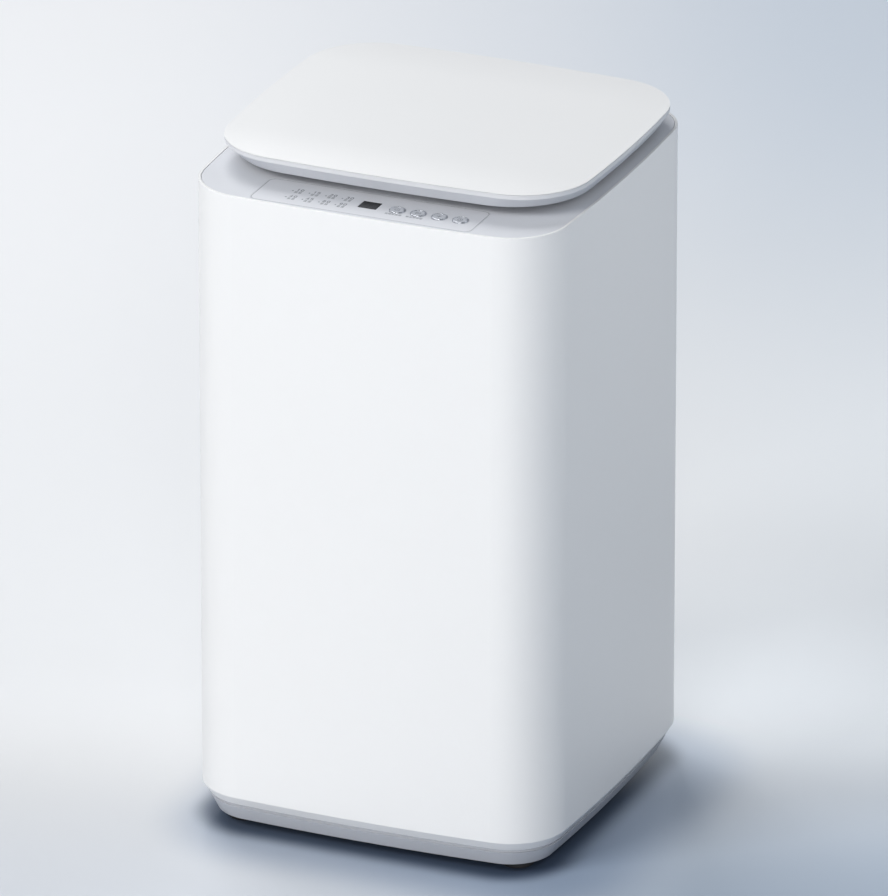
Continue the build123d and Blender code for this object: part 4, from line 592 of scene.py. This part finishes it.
def brush():
    """Strands fan out of each tuft's root on a golden spiral, with small random sags."""
    low, high = (corner[2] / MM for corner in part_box("brush_bristles"))
    inner = POST_RADIUS + POST_CLEARANCE
    rng = random.Random(BRUSH_SEED)
    sleeve = Shape()
    shoulder = [(SLEEVE_RADIUS - inset, high - drop) for inset, drop in SLEEVE_ROUND]
    sleeve.lathe([(inner, low), (SLEEVE_RADIUS, low), *shoulder, (inner, high)], TUB_AXIS, SLEEVE_TURNS)
    tufts = Shape()
    up = Vector((0, 0, 1))
    for ring in range(TUFT_RINGS):
        for index in range(TUFTS_PER_RING):
            turn = 2 * math.pi * (index + 0.5 * (ring % 2)) / TUFTS_PER_RING
            height = SLEEVE_FOOT + TUFT_FOOT + (ring + 0.5) * TUFT_SPAN / TUFT_RINGS
            out = Vector((math.cos(turn), math.sin(turn), 0))
            across = Vector((-math.sin(turn), math.cos(turn), 0))
            root = Vector((*TUB_AXIS, height)) + out * (SLEEVE_RADIUS - TUFT_SINK)
            sleeve.collar(root, out, across, up, COLLAR_FOOT, COLLAR_CREST, COLLAR_HEIGHT)
            for strand in range(STRANDS):
                spread = TUFT_SPREAD * math.sqrt((strand + 0.5) / STRANDS)
                phase = strand * GOLDEN_TURN + rng.uniform(-0.2, 0.2)
                side = across * math.cos(phase) + up * math.sin(phase)
                reach = TUFT_LENGTH - 1.0 + rng.uniform(-1.0, 0.6)
                sag = side * rng.uniform(0.2, 1.3) + up * rng.uniform(-0.7, 0.4)
                tip = root + side * spread * STRAND_FLARE + out * reach
                tufts.filament(root + side * spread, tip, STRAND_RADIUS, sag)
    sleeve_piece = sleeve.piece("brush_sleeve", PULSATOR, "pulsator_plastic", "pulsator")
    tufts.piece("brush_tufts", NYLON, "bristle_nylon", "pulsator", smooth=True)
    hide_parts("brush_bristles")


brush()


# Thread on the water inlet's spigot

INLET_X = -112.0
INLET_Z = 664.0
THREAD_RADIUS = 13.2
THREAD_PITCH = 1.81
THREAD_TURNS = 6.5
THREAD_SETBACK = 1.6
THREAD_SINK = 0.3
THREAD_CREST = 0.55
THREAD_ROOT_HALF = 0.75
THREAD_CREST_HALF = 0.15
THREAD_STEPS = 48
THREAD_FADE = 12


def inlet_thread():
    """A screw thread along the spigot, which fades in and out at its ends."""
    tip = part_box("water_inlet_valve")[1][1] / MM
    thread = Shape()
    total = int(THREAD_STEPS * THREAD_TURNS)
    root = THREAD_RADIUS - THREAD_SINK
    for step in range(total + 1):
        angle = 2 * math.pi * step / THREAD_STEPS
        y = tip - THREAD_SETBACK - THREAD_PITCH * step / THREAD_STEPS
        crest = THREAD_RADIUS + THREAD_CREST * min(1.0, step / THREAD_FADE, (total - step) / THREAD_FADE)
        for radius, shift in ((root, -THREAD_ROOT_HALF), (crest, -THREAD_CREST_HALF),
                              (crest, THREAD_CREST_HALF), (root, THREAD_ROOT_HALF)):
            thread.points.append((INLET_X + radius * math.cos(angle), y + shift,
                                  INLET_Z + radius * math.sin(angle)))
    for step in range(total):
        a = 4 * step
        for k in range(4):
            n = (k + 1) % 4
            thread.faces.append((a + k, a + n, a + 4 + n, a + 4 + k))
    thread.faces.append((0, 1, 2, 3))
    thread.faces.append((4 * total + 3, 4 * total + 2, 4 * total + 1, 4 * total))
    thread.piece("inlet_thread", WHITE, "white_plastic", "cabinet", smooth=True)


inlet_thread()


# Floor. Sides and depths run across and away from the camera, in metres from the object's middle.

CAMERA_YAW = math.radians(23.08)
CAMERA_PITCH = math.radians(22.74)
FLOOR_HALF = 20.0
FLOOR_FRONT_LEFT = (0.64, 0.67, 0.72)
# The front right is darker: painted shadow and painted reflection of the object's shaded right side
FLOOR_FRONT_RIGHT_SHADOW = (0.46, 0.535, 0.64)
FLOOR_FRONT_SIDES = (-0.30, 0.30)
FLOOR_BACK = (0.80, 0.808, 0.82)
FLOOR_BACK_RIGHT = (0.745, 0.77, 0.80)
FLOOR_BACK_SIDES = (0.10, 0.52)
FLOOR_TURN = (-0.30, 0.16)
FLOOR_CLOUD = (0.985, 0.985, 0.985)

# Painted shadows round the foot: shift of the foot's middle, distances from its edge, colour
FOOT_HALF = 0.189
FOOT_CORNER = 0.055
FOOT_PAINTED_SHADOWS = (
    ((0.03, -0.015), (0.0, 0.11), (0.62, 0.68, 0.77)),
    ((0.0, 0.0), (-0.006, 0.034), (0.17, 0.20, 0.25)),
)

# The backdrop's glow, seen only by the camera and in reflections
GLOW_RISE = (-0.05, 0.25)
GLOW_SIDES = (-0.45, 0.45)
GLOW_LEFT = (0.075, 0.08, 0.09)
GLOW_LEFT_BACK = (0.165, 0.165, 0.175)
GLOW_LEFT_DEPTHS = (0.0, 2.2)
GLOW_RIGHT = (0.150, 0.155, 0.162)
GLOW_RIGHT_BACK = (0.0, 0.03, 0.075)
GLOW_RIGHT_DEPTHS = (0.7, 2.2)
# The spot is painted light: it brightens the floor beside the object's right side, where the key lamp's
# shadow falls
GLOW_SPOT = (0.11, 0.12, 0.13)
GLOW_SPOT_PLACE = (0.31, 0.17)
GLOW_SPOT_SQUASH = 0.75
GLOW_SPOT_REACH = 0.40
GLOW_SPOT_RISE = (-0.06, 0.10)


def foot_distance(t, shift):
    """Distance on the floor from a square that lies FOOT_CORNER inside the shifted foot's edge."""
    place = t.split(t.place)
    squares = []
    for axis, move in zip(("X", "Y"), shift):
        size = t.maths("ABSOLUTE", t.maths("SUBTRACT", (place, axis), move))
        over = t.maths("MAXIMUM", t.maths("SUBTRACT", size, FOOT_HALF - FOOT_CORNER), 0.0)
        squares.append(t.maths("POWER", over, 2.0))
    return t.maths("SQRT", t.maths("ADD", *squares))


def floor_colour(t, side, depth):
    front = t.mix(t.soft(side, *FLOOR_FRONT_SIDES), FLOOR_FRONT_LEFT, FLOOR_FRONT_RIGHT_SHADOW)
    back = t.mix(t.soft(side, *FLOOR_BACK_SIDES), FLOOR_BACK, FLOOR_BACK_RIGHT)
    ground = t.mix(t.soft(depth, *FLOOR_TURN), front, back)
    cloud = t.mix(t.ramp(t.noise(0.8, 2.0), 0.35, 0.65), FLOOR_CLOUD, WHITE_TONE)
    colour = t.mix(1.0, ground, cloud, "MULTIPLY")
    # Painted shadows: the floor colour is darkened round the foot
    for shift, (near, far), shadow in FOOT_PAINTED_SHADOWS:
        under = t.ramp(foot_distance(t, shift), FOOT_CORNER + near, FOOT_CORNER + far, 1.0, 0.0,
                       "SMOOTHERSTEP")
        colour = t.mix(under, colour, shadow, "MULTIPLY")
    return colour


def floor_glow(t, turned, side, depth):
    right = t.mix(t.soft(depth, *GLOW_RIGHT_DEPTHS), GLOW_RIGHT, GLOW_RIGHT_BACK)
    left = t.mix(t.soft(depth, *GLOW_LEFT_DEPTHS), GLOW_LEFT, GLOW_LEFT_BACK)
    glow = t.mix(t.soft(depth, *GLOW_RISE), NO_LIGHT, t.mix(t.soft(side, *GLOW_SIDES), left, right))
    # Painted light: a spot of glow lifts the floor in the key lamp's shadow beside the right side
    spot = t.add("ShaderNodeMapping", {
        "Vector": turned,
        "Location": (-GLOW_SPOT_PLACE[0], -GLOW_SPOT_SQUASH * GLOW_SPOT_PLACE[1], 0),
        "Scale": (1.0, GLOW_SPOT_SQUASH, 1.0),
    })
    apart = t.add("ShaderNodeVectorMath", {0: (spot, "Vector")}, operation="LENGTH")
    close = t.soft((apart, "Value"), 0.0, GLOW_SPOT_REACH, 1.0, 0.0)
    near = t.maths("MULTIPLY", close, t.soft(depth, *GLOW_SPOT_RISE))
    return t.mix(1.0, glow, t.mix(near, NO_LIGHT, GLOW_SPOT), "ADD")


def floor_material():
    """A pale studio floor: slate blue in front, brighter towards the back, with painted shadow at the
    foot and on the front right.
    """
    t = Tree("studio_floor")
    turned = t.add("ShaderNodeMapping", {"Vector": t.place, "Rotation": (0, 0, -CAMERA_YAW)}), "Vector"
    split = t.split(turned)
    side = (split, "X")
    depth = (split, "Y")
    seen = t.add("ShaderNodeLightPath")
    rays = t.maths("MAXIMUM", (seen, "Is Camera Ray"), (seen, "Is Glossy Ray"))
    return t.finish(
        Base_Color=floor_colour(t, side, depth),
        Roughness=t.ramp(t.noise(40.0), 0.3, 0.7, 0.30, 0.36),
        Specular_IOR_Level=0.4,
        Emission_Color=floor_glow(t, turned, side, depth),
        Emission_Strength=t.maths("MAXIMUM", rays, (seen, "Is Transmission Ray")),
    )


def make_floor():
    mesh = bpy.data.meshes.new("floor")
    bm = bmesh.new()
    bmesh.ops.create_grid(bm, x_segments=8, y_segments=8, size=FLOOR_HALF)
    bm.to_mesh(mesh)
    bm.free()
    floor = bpy.data.objects.new("floor", mesh)
    scene.collection.objects.link(floor)
    mesh.materials.append(floor_material())


make_floor()


# Lamps: name, place, target, side of the square, watts, colour

WARM = (1.0, 0.985, 0.96)
COOL = (0.95, 0.975, 1.0)
PLAIN = (1, 1, 1)
LAMPS = (
    ("key_high", (-2.8, -4.6, 5.0), (0, 0, 0.45), 3.0, 245, WARM),
    ("front", (1.6, -6.2, 2.6), (0, 0, 0.4), 3.0, 198, WARM),
    ("left", (-6.0, -1.5, 2.6), (0, 0, 0.4), 3.0, 12, WARM),
    ("back", (-2.0, 2.2, 3.4), (0, 0, 0.4), 2.0, 79, PLAIN),
    ("rim", (-3.1, 1.1, 3.0), (0, 0, 0.4), 1.2, 8, PLAIN),
    ("back_right", (2.2, 2.0, 3.0), (0, 0, 0.5), 1.6, 6, PLAIN),
    ("side", (2.0, 0.3, 2.1), (0.15, 0, 0.5), 1.0, 3, COOL),
    ("side_near", (1.0, 0.15, 0.95), (0.2, 0, 0.55), 0.5, 1.5, COOL),
)
SKY = (0.74, 0.86, 1.0)
SKY_STRENGTH = 0.15


def area_light(name, place, target, size, power, colour):
    lamp = bpy.data.lights.new(name, "AREA")
    lamp.shape = "SQUARE"
    lamp.size = size
    lamp.energy = power
    lamp.color = colour
    holder = bpy.data.objects.new(name, lamp)
    holder.location = place
    holder.rotation_euler = (Vector(target) - Vector(place)).to_track_quat("-Z", "Y").to_euler()
    scene.collection.objects.link(holder)


for lamp_row in LAMPS:
    area_light(*lamp_row)

world = bpy.data.worlds.new("studio")
scene.world = world
world.use_nodes = True
backdrop = world.node_tree.nodes["Background"]
backdrop.inputs["Color"].default_value = (*SKY, 1)
backdrop.inputs["Strength"].default_value = SKY_STRENGTH


# Camera

CAMERA_PLACE = (5.4269, -12.7227, 6.1734)
CAMERA_LENS = 586.5
CAMERA_SENSOR = 36.0
CAMERA_REACH = 100.0

backward = Vector((
    math.sin(CAMERA_YAW) * math.cos(CAMERA_PITCH),
    -math.cos(CAMERA_YAW) * math.cos(CAMERA_PITCH),
    math.sin(CAMERA_PITCH),
))
rightward = Vector((math.cos(CAMERA_YAW), math.sin(CAMERA_YAW), 0))
upward = backward.cross(rightward)
camera_data = bpy.data.cameras.new("camera")
camera_data.lens = CAMERA_LENS
camera_data.sensor_width = CAMERA_SENSOR
camera_data.clip_end = CAMERA_REACH
camera = bpy.data.objects.new("camera", camera_data)
aim = Matrix((rightward, upward, backward)).transposed().to_4x4()
camera.matrix_world = Matrix.Translation(CAMERA_PLACE) @ aim
scene.collection.objects.link(camera)
scene.camera = camera
scene.view_settings.view_transform = "Standard"
